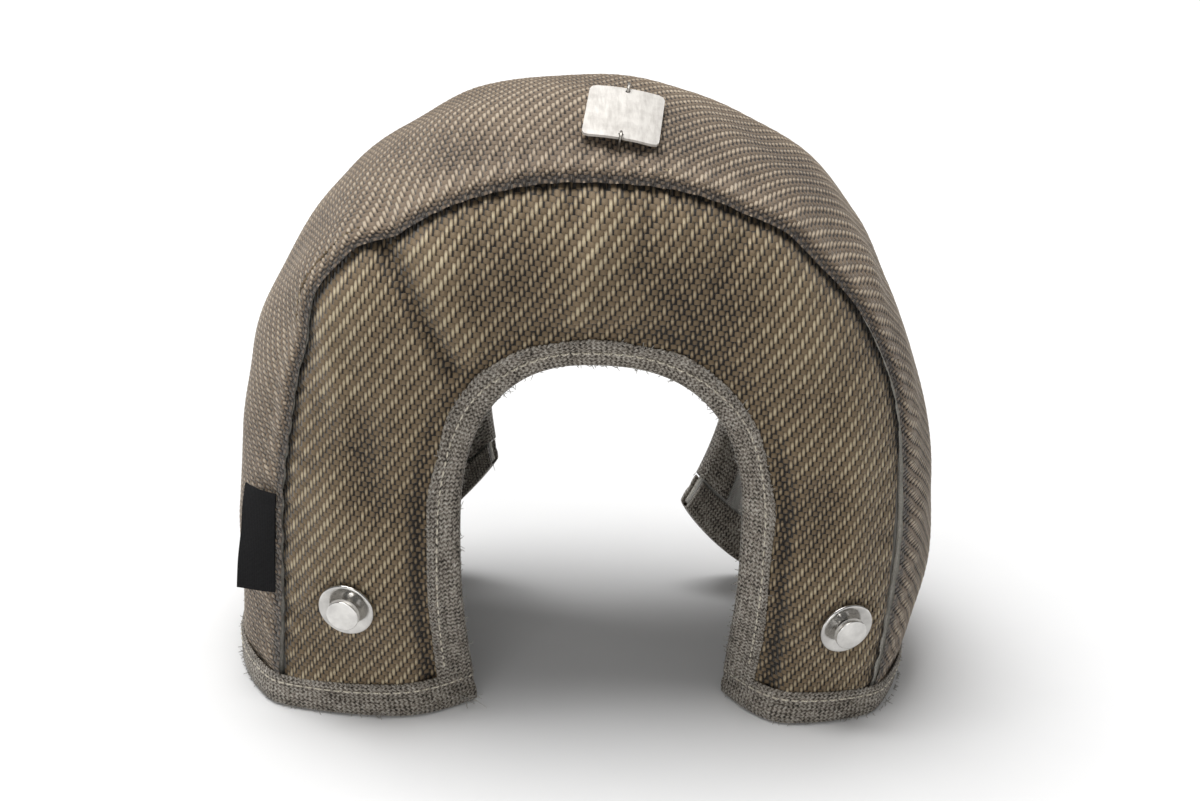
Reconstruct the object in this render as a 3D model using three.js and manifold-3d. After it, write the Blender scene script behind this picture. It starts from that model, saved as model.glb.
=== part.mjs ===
// Turbo heat blanket: a padded horseshoe housing of woven mineral cloth that is laced over a turbine.
// Each wall is an outer cloth, an insulation mat and an inner lining. Knitted wire tape binds the
// openings and the feet, and four studs take the lacing wire.
// Millimetres. X runs to the right, Y from the front face to the rear face, Z up.
import * as THREE from "three";
import { mergeVertices } from "three/addons/utils/BufferGeometryUtils.js";
import Module from "manifold-3d";

const wasm = await Module();
wasm.setup();

// Housing: the seam line that the front and the rear face share with the crown band
const SEAM = {
  left: 96,
  right: 96,
  spring: 56,
  rise: 117,
  power: 2.3,
  leftTuck: 0.6,
  rightTuck: 6,
  lean: -3.3,
  leftFoot: 0,
  rightFoot: 0,
};
const DEPTH = 92;
const CROWN_BULGE = 13;
const CROWN_FULLNESS = 2.4;

// Hand-sewn irregularity, in pairs of the arch's parameter and millimetres outward: how far the front
// seam wavers from its own line, and how far the crest of the crown band strays from an even bulge
const SEAM_WAVER = [
  [0, 0], [0.1, -1.9], [0.19, -3.2], [0.24, -1.6], [0.29, 3.6], [0.325, 2.8], [0.365, -2.6], [0.43, -2.4], [0.5, -1.4],
  [0.6, -0.3], [0.64, 1.8], [0.67, 1.2], [0.72, 2.4], [0.77, 2.6], [0.85, 0.8], [0.93, -0.2], [1, 0],
];
const CREST_STRAY = [
  [0, 0.4], [0.05, 1.3], [0.11, 1.4], [0.16, 0.2], [0.2, -0.3], [0.29, -1.8], [0.38, -1.3], [0.44, 0.6], [0.5, 1.7],
  [0.56, 0.2], [0.6, -0.1], [0.65, 1.8], [0.7, 0], [0.74, -1.7], [0.79, -1.6], [0.86, 1.3], [0.9, 1.5], [0.95, -0.4], [1, -1.6],
];
const WAVER_REACH = 0.4;

// Openings: the front one stands on the floor, the rear one closes in towards its raised corners
const FRONT_OPENING = {
  left: 39.2,
  right: 46.2,
  spring: 67,
  rise: 51.3,
  power: 2.42,
  leftTuck: 5.6,
  rightTuck: 0.9,
  lean: 0,
  leftFoot: 0,
  rightFoot: 0,
};
const REAR_OPENING = {
  left: 33.5,
  right: 50,
  spring: 82,
  rise: 32,
  power: 2.2,
  leftTuck: 19,
  rightTuck: 36.5,
  lean: 2,
  leftFoot: 43,
  rightFoot: 29,
};
const REAR_HEM_SAG = 11;

// How far each face stands proud of its seam plane, at its opening edge and at its crest
const FRONT_SWELL = { edge: 9, crest: 16, leftFootEdge: -5, rightFootEdge: -12, footCrest: 7.5 };
const REAR_SWELL = { edge: 5, crest: 12, leftFootEdge: 2, rightFootEdge: 2, footCrest: 7 };
const SWELL_HEIGHT = 55;
const CREST_SHARE = 0.38;
const EDGE_ROLL = 1.8;
const SEAM_ROLL = 2.1;

// Wall layers
const CLOTH = 1.4;
const MAT = 6.5;
const MAT_PINCHED = 1.6;
const LINING = 1;
const GAP = 0.3;
const MAT_RAMP = 12;
const PINCHED_WALL = CLOTH + GAP + MAT_PINCHED + GAP + LINING;
const MITRE_GAP = (GAP * Math.SQRT2) / 2;

// Twill of the outer cloth: tow pitches across and along the warp, and the wale that they make
const WARP_PITCH = 1.24;
const WEFT_PITCH = 1.5;
const TWILL_REPEAT = 4;
const WALES_PER_RIDGE = 2;
const RIDGE_RELIEF = 0.4;
const RIDGE_STEP = 12;
const RIDGE_FADE = 5;

// Binding tape
const TAPE_WIDTH = 10.6;
const TAPE = 1;
const HEM_LIFT = TAPE + GAP;

// Lacing studs: places on the faces, and the sizes of the stud and its two washers
const STUDS = {
  front_left: { x: -71.6, z: 40 },
  front_right: { x: 78, z: 36.2 },
  rear_left: { x: -71.6, z: 40 },
  rear_right: { x: 78, z: 36.2 },
};
const SEAT_RADIUS = 10.5;
const SEAT_FADE = 6;
const SEAT_PRESS = 0.5;
const CUP_RADIUS = 8.75;
const CUP_FLAT = 4.2;
const CUP_DISH = 1.1;
const CUP_SHEET = 0.7;
const HEAD_RADIUS = 5;
const HEAD_HEIGHT = 2;
const NECK_RADIUS = 2.6;
const NECK_HEIGHT = 2;
const SHANK_RADIUS = 1.6;
const SHANK_TIP = 0.8;
const BACKING_RADIUS = 6;
const BACKING_SHEET = 1;
const EDGE_BREAK = 0.5;

// Name plate on the crown, held by a wire staple at its front and rear edges
const TAG = { x: 7, y: 22, width: 22.6, length: 26.4, turn: -5, sheet: 0.8, corner: 2 };
const STAPLE_WIRE = 0.45;
const STAPLE_SPAN = 3;
const STAPLE_INSET = 1.7;
const STAPLE_RISE = 0.6;
const STAPLE_BITE = 0.8;

// Woven label sewn into the left front seam
const LABEL = { low: 38, high: 70.5, width: 12.5, sheet: 0.5, lowSweep: 14, highSweep: 34 };

// Share of an arch's parameter that each straight leg takes
const LEG_SHARE = 0.125;
const FAR = 40;

const smooth = (x) => {
  const c = Math.min(Math.max(x, 0), 1);
  return c * c * (3 - 2 * c);
};
const mix = (a, b, k) => a + (b - a) * k;

// Horseshoe line in the X-Z plane: a leg, a superellipse dome and a leg. t runs from 0 at the left foot
// to 1 at the right foot, and a little past both it carries on below the feet.
function horseshoe(s) {
  return (t) => {
    const onLeft = t < 0.5;
    const share = (onLeft ? t : 1 - t) / LEG_SHARE;
    if (share < 1) {
      const foot = onLeft ? s.leftFoot : s.rightFoot;
      const z = mix(foot, s.spring, share);
      const below = ((s.spring - z) / s.spring) ** 2;
      const half = onLeft ? s.left - s.leftTuck * below : s.right - s.rightTuck * below;
      return new THREE.Vector2(onLeft ? -half : half, z);
    }
    const angle = (Math.PI * (t - LEG_SHARE)) / (1 - 2 * LEG_SHARE);
    const across = Math.cos(angle);
    const up = Math.sin(angle);
    const half = onLeft ? s.left : s.right;
    return new THREE.Vector2(
      s.lean * up - Math.sign(across) * half * Math.abs(across) ** (2 / s.power),
      s.spring + s.rise * up ** (2 / s.power),
    );
  };
}

const evenSeam = horseshoe(SEAM);

// Direction out of the arch at t, square to the even seam line, and turning level towards the feet
function outOfSeam(t) {
  const step = 1e-4;
  const along = evenSeam(t + step).sub(evenSeam(t - step)).normalize();
  const fromFoot = smooth(Math.min(t, 1 - t) / LEG_SHARE);
  return new THREE.Vector2(-along.y, along.x * fromFoot).normalize();
}

// A value that runs smoothly through a list of pairs, and stays level past its ends
function through(pairs, t) {
  const i = pairs.findIndex(([at]) => at > t);
  if (i < 0) return pairs[pairs.length - 1][1];
  if (i === 0) return pairs[0][1];
  const [a, from] = pairs[i - 1];
  const [b, to] = pairs[i];
  return mix(from, to, smooth((t - a) / (b - a)));
}

const bulgeAt = (t) => CROWN_BULGE + through(CREST_STRAY, t);

// The seam lines: v = 0 the front one with its waver, v = 1 the rear one
const seamAt = (t, v) => evenSeam(t).addScaledVector(outOfSeam(t), through(SEAM_WAVER, t) * (1 - smooth(v / WAVER_REACH)));

// Distance along the seam line from the left foot, as a table of t against length
const LENGTH_STEPS = 600;
const OVERRUN = 0.3;
const lengthTable = [];
for (let i = 0, run = 0; i <= LENGTH_STEPS; i++) {
  const t = mix(-OVERRUN, 1 + OVERRUN, i / LENGTH_STEPS);
  if (i > 0) run += evenSeam(t).distanceTo(evenSeam(lengthTable[i - 1].t));
  lengthTable.push({ t, run });
}

function seamParameter(length) {
  const zero = seamLength(0);
  let low = 0;
  let high = LENGTH_STEPS;
  while (high - low > 1) {
    const middle = (low + high) >> 1;
    if (lengthTable[middle].run - zero < length) low = middle;
    else high = middle;
  }
  const a = lengthTable[low];
  const b = lengthTable[high];
  return mix(a.t, b.t, (length + zero - a.run) / (b.run - a.run));
}

function seamLength(t) {
  const place = ((t + OVERRUN) / (1 + 2 * OVERRUN)) * LENGTH_STEPS;
  const low = Math.min(Math.floor(place), LENGTH_STEPS - 1);
  return mix(lengthTable[low].run, lengthTable[low + 1].run, place - low);
}

const SEAM_LENGTH = seamLength(1) - seamLength(0);
const fromFoot = (t) => seamLength(Math.min(t, 1 - t)) - seamLength(0);

// A face is ruled from its opening line (w = 0) to the seam line (w = 1) and swells out of its seam plane
function facePanel({ opening, plane, outward, swell, sag, studs }) {
  const openingLine = horseshoe(opening);
  const seamLine = (t) => seamAt(t, plane / DEPTH);

  const width = (t) => seamLine(t).distanceTo(openingLine(t));

  const sagAt = (t, w) => {
    const fade = Math.max(0, 1 - Math.min(t, 1 - t) / LEG_SHARE);
    return sag * fade ** 2 * Math.sin(Math.PI * Math.min(Math.max(w, 0), 1) ** 0.8);
  };

  const flat = (t, w) => {
    const p = openingLine(t).lerp(seamLine(t), w);
    p.y -= sagAt(t, w);
    return p;
  };

  const freeSwell = (w, x, z) => {
    const rise = smooth(z / SWELL_HEIGHT);
    const edge = mix(x < 0 ? swell.leftFootEdge : swell.rightFootEdge, swell.edge, rise);
    const crest = mix(swell.footCrest, swell.crest, rise);
    if (w < CREST_SHARE) return mix(crest, edge, (1 - w / CREST_SHARE) ** EDGE_ROLL);
    return crest * (1 - ((w - CREST_SHARE) / (1 - CREST_SHARE)) ** SEAM_ROLL);
  };

  // The ruling that passes through a point of the X-Z plane, found by halving, and the share along it
  const locate = (x, z) => {
    let lift = 0;
    let t = 0;
    let w = 0;
    for (let pass = 0; pass < 3; pass++) {
      const p = new THREE.Vector2(x, z + lift);
      let low = x < opening.lean ? -0.1 : 0.5;
      let high = low + 0.6;
      for (let i = 0; i < 24; i++) {
        t = (low + high) / 2;
        const foot = openingLine(t);
        if (seamLine(t).sub(foot).cross(p.clone().sub(foot)) < 0) low = t;
        else high = t;
      }
      const foot = openingLine(t);
      const ruling = seamLine(t).sub(foot);
      w = p.sub(foot).dot(ruling) / ruling.lengthSq();
      lift = sagAt(t, w);
    }
    return { t, w: Math.min(Math.max(w, -0.15), 1.2) };
  };

  // Tangent plane of the face at each stud, pressed in a little
  const seats = studs.map(({ x, z }) => {
    const value = (px, pz) => freeSwell(locate(px, pz).w, px, pz);
    const here = value(x, z);
    return { x, z, here: here - SEAT_PRESS, dx: (value(x + 1, z) - value(x - 1, z)) / 2, dz: (value(x, z + 1) - value(x, z - 1)) / 2 };
  });

  const swellAt = (w, x, z) => {
    let value = freeSwell(w, x, z);
    for (const seat of seats) {
      const r = Math.hypot(x - seat.x, z - seat.z);
      const plane = seat.here + seat.dx * (x - seat.x) + seat.dz * (z - seat.z);
      value = mix(value, plane, smooth((SEAT_RADIUS + SEAT_FADE - r) / SEAT_FADE));
    }
    return value;
  };

  const surface = (t, w) => {
    const p = flat(t, w);
    return new THREE.Vector3(p.x, plane + outward * swellAt(w, p.x, p.y), p.y);
  };

  const matAt = (t, w) => {
    const fromOpening = w * width(t);
    const fromSeam = (1 - w) * width(t);
    return (
      MAT_PINCHED +
      (MAT - MAT_PINCHED) *
        smooth((fromOpening - TAPE_WIDTH) / MAT_RAMP) *
        smooth(fromSeam / MAT_RAMP) *
        smooth((fromFoot(t) - TAPE_WIDTH) / MAT_RAMP)
    );
  };

  // A place at a depth inside the wall. At the seam the depth runs down the mitre, and at the foot level.
  const inside = (t, w, depth) => {
    const p = surface(t, w);
    if (w >= 1) {
      const out = outOfSeam(t);
      const along = depth * Math.SQRT1_2;
      return p.add(new THREE.Vector3(-out.x, 0, -out.y).multiplyScalar(along + MITRE_GAP)).add(new THREE.Vector3(0, -outward * along, 0));
    }
    return p.addScaledVector(inward(t, w), depth);
  };
  const inward = (t, w) => {
    const normal = inwardNormal(surface, t, Math.max(w, 0.02), new THREE.Vector3(0, -outward, 0));
    return atFoot(t) ? level(normal) : normal;
  };
  const hemStart = (LEG_SHARE * HEM_LIFT) / (opening.spring - Math.max(opening.leftFoot, opening.rightFoot));
  const yOver = (x, z) => plane + outward * swellAt(locate(x, z).w, x, z);
  return { surface, inward, inside, matAt, width, openingLine, seamLine, hemStart, locate, yOver, plane, outward };
}

// Unit normal of a two-parameter surface, on the side that the hint points to
function inwardNormal(surface, a, b, hint) {
  const step = 2e-3;
  const da = surface(a + step, b).sub(surface(a - step, b));
  const db = surface(a, b + step).sub(surface(a, b - step));
  const normal = da.cross(db).normalize();
  return normal.dot(hint) < 0 ? normal.negate() : normal;
}

// Near a foot the layers are stacked level
const atFoot = (t) => Math.min(t, 1 - t) * SEAM_LENGTH < 2 * HEM_LIFT;
const level = (v) => new THREE.Vector3(v.x, v.y, 0).normalize();

// The crown band: the seam line carried back, swelling between the two seams. v = 0 front, 1 rear.
const crown = {
  surface(t, v) {
    const out = outOfSeam(t);
    const p = seamAt(t, v).addScaledVector(out, bulgeAt(t) * (1 - Math.abs(2 * v - 1) ** CROWN_FULLNESS));
    return new THREE.Vector3(p.x, v * DEPTH, p.y);
  },
  inward(t, v) {
    const out = outOfSeam(t);
    const normal = inwardNormal(crown.surface, t, v, new THREE.Vector3(-out.x, 0, -out.y));
    return atFoot(t) ? level(normal) : normal;
  },
  inside(t, v, depth) {
    const p = crown.surface(t, v);
    if (v > 0 && v < 1) return p.addScaledVector(crown.inward(t, v), depth);
    const out = outOfSeam(t);
    const back = v <= 0 ? 1 : -1;
    const along = depth * Math.SQRT1_2;
    return p.add(new THREE.Vector3(-out.x * along, back * (along + MITRE_GAP), -out.y * along));
  },
  hemStart: LEG_SHARE * HEM_LIFT / SEAM.spring,
  matAt(t, v) {
    const fromSeam = Math.min(v, 1 - v) * DEPTH;
    return (
      MAT_PINCHED +
      (MAT - MAT_PINCHED) * smooth(fromSeam / MAT_RAMP) * smooth((fromFoot(t) - TAPE_WIDTH) / MAT_RAMP)
    );
  },
};

const front = facePanel({
  opening: FRONT_OPENING, plane: 0, outward: -1, swell: FRONT_SWELL, sag: 0, studs: [STUDS.front_left, STUDS.front_right],
});
const rear = facePanel({
  opening: REAR_OPENING, plane: DEPTH, outward: 1, swell: REAR_SWELL, sag: REAR_HEM_SAG, studs: [STUDS.rear_left, STUDS.rear_right],
});

// Turning meshes into solids that can be cut, and back
function toSolid(geometry) {
  const bare = geometry.clone();
  bare.deleteAttribute("normal");
  bare.deleteAttribute("uv");
  const merged = mergeVertices(bare, 1e-4);
  return new wasm.Manifold(
    new wasm.Mesh({
      numProp: 3,
      vertProperties: new Float32Array(merged.attributes.position.array),
      triVerts: new Uint32Array(merged.index.array),
    }),
  );
}

function toGeometry(solid) {
  const mesh = solid.getMesh();
  const geometry = new THREE.BufferGeometry();
  geometry.setAttribute("position", new THREE.BufferAttribute(mesh.vertProperties, 3));
  geometry.setIndex(new THREE.BufferAttribute(mesh.triVerts, 1));
  geometry.computeVertexNormals();
  return geometry;
}

// A solid carried through rings of points that all have the same count. caps lists the triangles that
// close each end, in the rings' own turning sense. turned(i, j) says which quads are split along their
// other diagonal, so that two surfaces on one grid have matching facets.
function ringSolid(rings, caps, turned = () => false) {
  const count = rings[0].length;
  const corners = rings.flat();
  const faces = [];
  for (let i = 0; i + 1 < rings.length; i++) {
    for (let j = 0; j < count; j++) {
      const a = i * count + j;
      const b = i * count + ((j + 1) % count);
      if (turned(i, j)) faces.push([a, b, a + count], [b, b + count, a + count]);
      else faces.push([a, b, b + count], [a, b + count, a + count]);
    }
  }
  const last = (rings.length - 1) * count;
  for (const [a, b, c] of caps) faces.push([a, c, b], [last + a, last + b, last + c]);
  let volume = 0;
  for (const [a, b, c] of faces) volume += corners[a].dot(corners[b].clone().cross(corners[c]));
  const geometry = new THREE.BufferGeometry().setFromPoints(corners);
  geometry.setIndex(faces.flatMap(([a, b, c]) => (volume > 0 ? [a, b, c] : [a, c, b])));
  return toSolid(geometry);
}

// End triangles of a section given as [x, y] corners
function sectionCaps(section) {
  const outline = section.map(([x, y]) => new THREE.Vector2(x, y));
  const turn = Math.sign(THREE.ShapeUtils.area(outline));
  return THREE.ShapeUtils.triangulateShape(outline, []).map(([a, b, c]) => {
    const area = THREE.ShapeUtils.area([outline[a], outline[b], outline[c]]);
    return Math.sign(area) === turn ? [a, b, c] : [a, c, b];
  });
}

// A solid between two surfaces worked out on the same grid
function slab(rows, columns, upper, lower) {
  const rings = rows.map((a) => [
    ...columns.map((b) => upper(a, b)),
    ...columns.map((b) => lower(a, b)).reverse(),
  ]);
  const last = 2 * columns.length - 1;
  const caps = [];
  for (let j = 0; j + 1 < columns.length; j++) {
    caps.push([j, j + 1, last - j - 1], [j, last - j - 1, last - j]);
  }
  return ringSolid(rings, caps, (i, j) => j >= columns.length - 1);
}

// Depths below the outer cloth's surface at which each layer begins and ends
const layers = {
  matFace: () => CLOTH + GAP,
  matBack: (wall, a, b) => CLOTH + GAP + wall.matAt(a, b),
  liningFace: (wall, a, b) => CLOTH + GAP + wall.matAt(a, b) + GAP,
  liningBack: (wall, a, b) => CLOTH + GAP + wall.matAt(a, b) + GAP + LINING,
};

// Grid stations: along the arch from foot to foot, and across each wall
const DOME_STEPS = 14;
const legStation = (height) => (LEG_SHARE * height) / SEAM.spring;
const legStations = [TAPE_WIDTH, TAPE_WIDTH + MAT_RAMP, STUDS.front_left.z].map(legStation);
const domeStations = [];
for (let i = 0; i <= DOME_STEPS; i++) domeStations.push(mix(LEG_SHARE, 1 - LEG_SHARE, i / DOME_STEPS));
const archStations = (start) => {
  const left = [start, ...legStations.filter((t) => t > start)];
  return [...left, ...domeStations, ...left.map((t) => 1 - t).reverse()];
};
const FACE_WIDTH = SEAM.left - FRONT_OPENING.left;
const TAPE_SHARE = (TAPE_WIDTH - HEM_LIFT) / FACE_WIDTH;
const faceStations = [0, TAPE_SHARE, (TAPE_WIDTH + MAT_RAMP) / FACE_WIDTH, 0.6, 1 - MAT_RAMP / FACE_WIDTH, 1];
const bandStations = [0, MAT_RAMP / DEPTH, 0.32, 0.5, 0.68, 1 - MAT_RAMP / DEPTH, 1];

// Mitre blocks: the walls meet on a surface that leaves the seam line at 45 degrees, half a gap to each side
const MITRE_STEPS = 24;
const mitreStations = [];
for (let i = 0; i <= MITRE_STEPS; i++) mitreStations.push(mix(-0.06, 1.06, i / MITRE_STEPS));

const QUAD_CAPS = [[0, 1, 2], [0, 2, 3]];

function mitreBlock(section, turned) {
  const rings = mitreStations.map((t) => section(t).map(([p, y]) => new THREE.Vector3(p.x, y, p.y)));
  return ringSolid(rings, QUAD_CAPS, turned);
}

const beside = (t, v, distance) => seamAt(t, v).addScaledVector(outOfSeam(t), distance);

const faceBlock = (wall) =>
  mitreBlock((t) => [
    [wall.openingLine(t), wall.plane + wall.outward * FAR],
    [wall.openingLine(t), wall.plane - wall.outward * FAR],
    [beside(t, wall.plane / DEPTH, -FAR - MITRE_GAP), wall.plane - wall.outward * FAR],
    [beside(t, wall.plane / DEPTH, FAR - MITRE_GAP), wall.plane + wall.outward * FAR],
  ]);

const bandSection = (t) => [
  [beside(t, 0, FAR), -FAR + MITRE_GAP],
  [beside(t, 0, -FAR), FAR + MITRE_GAP],
  [beside(t, 1, -FAR), DEPTH - FAR - MITRE_GAP],
  [beside(t, 1, FAR), DEPTH + FAR - MITRE_GAP],
];
const bandBlock = mitreBlock(bandSection, (i, j) => j === 0);

// Everything above the feet's tape web
const aboveHem = toSolid(new THREE.BoxGeometry(8 * FAR, 8 * FAR, 8 * FAR).translate(0, 0, 4 * FAR + HEM_LIFT));

// Hem tape: stations along a foot, each placing a point b above the hem line and delta inside the cloth
const hemRate = (foot) => ((foot === 0 ? 1 : -1) * legStation(TAPE_WIDTH)) / TAPE_WIDTH;

function hemStation(wall, foot, across) {
  const rate = hemRate(foot);
  const side = (b) => level(wall.inward(foot + rate * b, across));
  return (b, delta) => wall.surface(foot + rate * b, across).addScaledVector(side(b), delta);
}

function cornerStation(foot, v) {
  const rate = hemRate(foot);
  const side = (t) => {
    const out = outOfSeam(t);
    return new THREE.Vector3(-out.x, 1 - 2 * v, -out.y).multiplyScalar(Math.SQRT1_2);
  };
  return (b, delta) => crown.surface(foot + rate * b, v).addScaledVector(side(foot + rate * b), delta);
}

const HEM_START_SHARE = -0.005;
const hemFaceStations = [HEM_START_SHARE, ...faceStations.slice(1, -1)];
const rearHemStations = (foot, stations) => stations.map((w) => hemStation(rear, foot, w));

const hemStations = (foot) => [
  ...hemFaceStations.map((w) => hemStation(front, foot, w)),
  cornerStation(foot, 0),
  ...bandStations.slice(1, -1).map((v) => hemStation(crown, foot, v)),
  cornerStation(foot, 1),
  ...rearHemStations(foot, [...hemFaceStations].reverse()),
];

// Section of the folded tape round a wall's edge: a U whose two legs lie on the cloth and on the lining.
// ease lowers the underside of its outer leg, for the tape's own bed in the cloth.
const TAPE_ROUND = TAPE + GAP;
const BED_EASE = 0.2;
const tapeSection = (ease) => [
  [TAPE_WIDTH + ease, -GAP - TAPE],
  [TAPE_ROUND, -GAP - TAPE],
  [0, TAPE_ROUND - GAP - TAPE],
  [0, PINCHED_WALL + GAP + TAPE - TAPE_ROUND],
  [TAPE_ROUND, PINCHED_WALL + GAP + TAPE],
  [TAPE_WIDTH, PINCHED_WALL + GAP + TAPE],
  [TAPE_WIDTH, PINCHED_WALL + GAP],
  [TAPE + ease, PINCHED_WALL + GAP],
  [TAPE + ease, -GAP + ease],
  [TAPE_WIDTH + ease, -GAP + ease],
];

function tape(stations, ease, against = () => false) {
  const section = tapeSection(ease);
  const rings = stations.map((place) => section.map(([b, delta]) => place(b, delta)));
  const descends = (j) => section[(j + 1) % section.length][0] < section[j][0];
  return ringSolid(rings, sectionCaps(section), (i, j) => descends(j) !== against(i));
}

// Opening tape: the same section carried round the arch, its web just outside the wall's edge
function openingTape(wall, ease = 0) {
  const start = legStation(TAPE_WIDTH + 2 * GAP);
  const past = ease > 0 ? [legStation(TAPE_WIDTH + 2 * GAP - ease)] : [];
  const along = [...past, ...archStations(start), ...past.map((t) => 1 - t)];
  const stations = along.map((t) => (b, delta) => {
    const w = ((b - HEM_LIFT) * TAPE_SHARE) / (TAPE_WIDTH - HEM_LIFT);
    return wall.surface(t, w).addScaledVector(wall.inward(t, w), delta);
  });
  return tape(stations, ease);
}

const REAR_CORNER = hemFaceStations.length + bandStations.length - 1;
const hemTape = (foot, ease = 0) => tape(hemStations(foot), ease, (i) => (foot === 1) !== i >= REAR_CORNER);
const hemBed = [0, 1].map((foot) => hemTape(foot, BED_EASE));

// The sloping rear hem trims the rear wall along the tape's web
const TRIM_STATIONS = [-0.15, 0, 0.12, 0.26, 0.4, 0.55, 0.7, 0.84, 1, 1.15];
const trimSection = [[-FAR, -FAR / 2], [HEM_LIFT, -FAR / 2], [HEM_LIFT, FAR / 2], [-FAR, FAR / 2]];
const rearTrim = [0, 1].map((foot) => {
  const rings = rearHemStations(foot, TRIM_STATIONS).map((place) => trimSection.map(([b, delta]) => place(b, delta)));
  return ringSolid(rings, QUAD_CAPS);
});

// Stud seats: a frame on the cloth with its Z axis pointing out of the wall
function seatOf(name) {
  const { x, z } = STUDS[name];
  const wall = name.startsWith("front") ? front : rear;
  const y = wall.yOver(x, z);
  const slopeX = wall.yOver(x + 1, z) - wall.yOver(x - 1, z);
  const slopeZ = wall.yOver(x, z + 1) - wall.yOver(x, z - 1);
  const out = new THREE.Vector3(-slopeX / 2, 1, -slopeZ / 2).normalize().multiplyScalar(wall.outward);
  const turn = new THREE.Quaternion().setFromUnitVectors(new THREE.Vector3(0, 0, 1), out);
  return { wall, frame: new THREE.Matrix4().compose(new THREE.Vector3(x, y, z), turn, new THREE.Vector3(1, 1, 1)) };
}

const TURNS = 18;
const lathe = (profile) =>
  new THREE.LatheGeometry(profile.map(([r, h]) => new THREE.Vector2(r, h)), TURNS).rotateX(Math.PI / 2);

const CUP_BASE = RIDGE_RELIEF + GAP;
const BACKING_FACE = -CLOTH - GAP;
const CUP_FLOOR = CUP_BASE + CUP_SHEET;
const HEAD_BASE = CUP_FLOOR + GAP + NECK_HEIGHT;
const SHANK_END = BACKING_FACE - BACKING_SHEET - SHANK_TIP;
const BORE = SHANK_RADIUS + GAP;

function cupWasher() {
  const rim = CUP_DISH;
  return lathe([
    [BORE, CUP_BASE],
    [CUP_FLAT, CUP_BASE],
    [CUP_RADIUS - EDGE_BREAK, CUP_BASE + rim - EDGE_BREAK],
    [CUP_RADIUS, CUP_BASE + rim],
    [CUP_RADIUS - EDGE_BREAK / 2, CUP_FLOOR + rim],
    [CUP_RADIUS - 2 * EDGE_BREAK, CUP_FLOOR + rim],
    [CUP_FLAT, CUP_FLOOR],
    [BORE, CUP_FLOOR],
    [BORE, CUP_BASE],
  ]);
}

function lacingStud() {
  return lathe([
    [0, SHANK_END],
    [SHANK_RADIUS, SHANK_END],
    [SHANK_RADIUS, CUP_FLOOR + GAP],
    [NECK_RADIUS, CUP_FLOOR + GAP],
    [NECK_RADIUS, HEAD_BASE],
    [HEAD_RADIUS, HEAD_BASE],
    [HEAD_RADIUS, HEAD_BASE + HEAD_HEIGHT - EDGE_BREAK],
    [HEAD_RADIUS - EDGE_BREAK, HEAD_BASE + HEAD_HEIGHT],
    [0, HEAD_BASE + HEAD_HEIGHT],
  ]);
}

function backingWasher() {
  const top = BACKING_FACE;
  const bottom = BACKING_FACE - BACKING_SHEET;
  return lathe([[BORE, bottom], [BACKING_RADIUS, bottom], [BACKING_RADIUS, top], [BORE, top], [BORE, bottom]]);
}

// Room for one stud in the wall: the dished washer's place, the shank's hole and the backing washer's pocket
function studRoom() {
  return lathe([
    [0, SHANK_END - GAP],
    [BORE, SHANK_END - GAP],
    [BORE, BACKING_FACE - BACKING_SHEET - GAP],
    [BACKING_RADIUS + GAP, BACKING_FACE - BACKING_SHEET - GAP],
    [BACKING_RADIUS + GAP, BACKING_FACE + GAP],
    [BORE, BACKING_FACE + GAP],
    [BORE, CUP_BASE - GAP],
    [CUP_FLAT, CUP_BASE - GAP],
    [CUP_RADIUS + GAP, CUP_BASE + CUP_DISH - GAP],
    [CUP_RADIUS + GAP, FAR],
    [0, FAR],
  ]);
}

const seats = Object.fromEntries(Object.keys(STUDS).map((name) => [name, seatOf(name)]));
const studRooms = (wall) =>
  Object.values(seats)
    .filter((seat) => seat.wall === wall)
    .map((seat) => toSolid(studRoom().applyMatrix4(seat.frame)));

// Name plate frame: centred on the crown, X across the plate, Y towards the rear, Z out of the cloth
function plateFrame() {
  const v = TAG.y / DEPTH;
  let low = 0.3;
  let high = 0.7;
  for (let i = 0; i < 30; i++) {
    const t = (low + high) / 2;
    if (crown.surface(t, v).x < TAG.x) low = t;
    else high = t;
  }
  const out = crown.inward(low, v).negate();
  const turn = THREE.MathUtils.degToRad(TAG.turn);
  const back = crown.surface(low, v + 0.01).sub(crown.surface(low, v - 0.01)).normalize().applyAxisAngle(out, turn);
  const across = back.clone().cross(out).normalize();
  const reach = TAG.width / 2 / SEAM_LENGTH;
  const middle = crown.surface(low, v);
  const edges = crown.surface(low - reach, v).add(crown.surface(low + reach, v)).multiplyScalar(0.5);
  const drop = middle.clone().sub(edges).dot(out);
  const place = new THREE.Matrix4().makeBasis(across, back, out).setPosition(middle);
  return { place, bend: drop / (TAG.width / 2) ** 2, t: low };
}

const plate = plateFrame();
const PLATE_LIFT = RIDGE_RELIEF + GAP;

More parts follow.
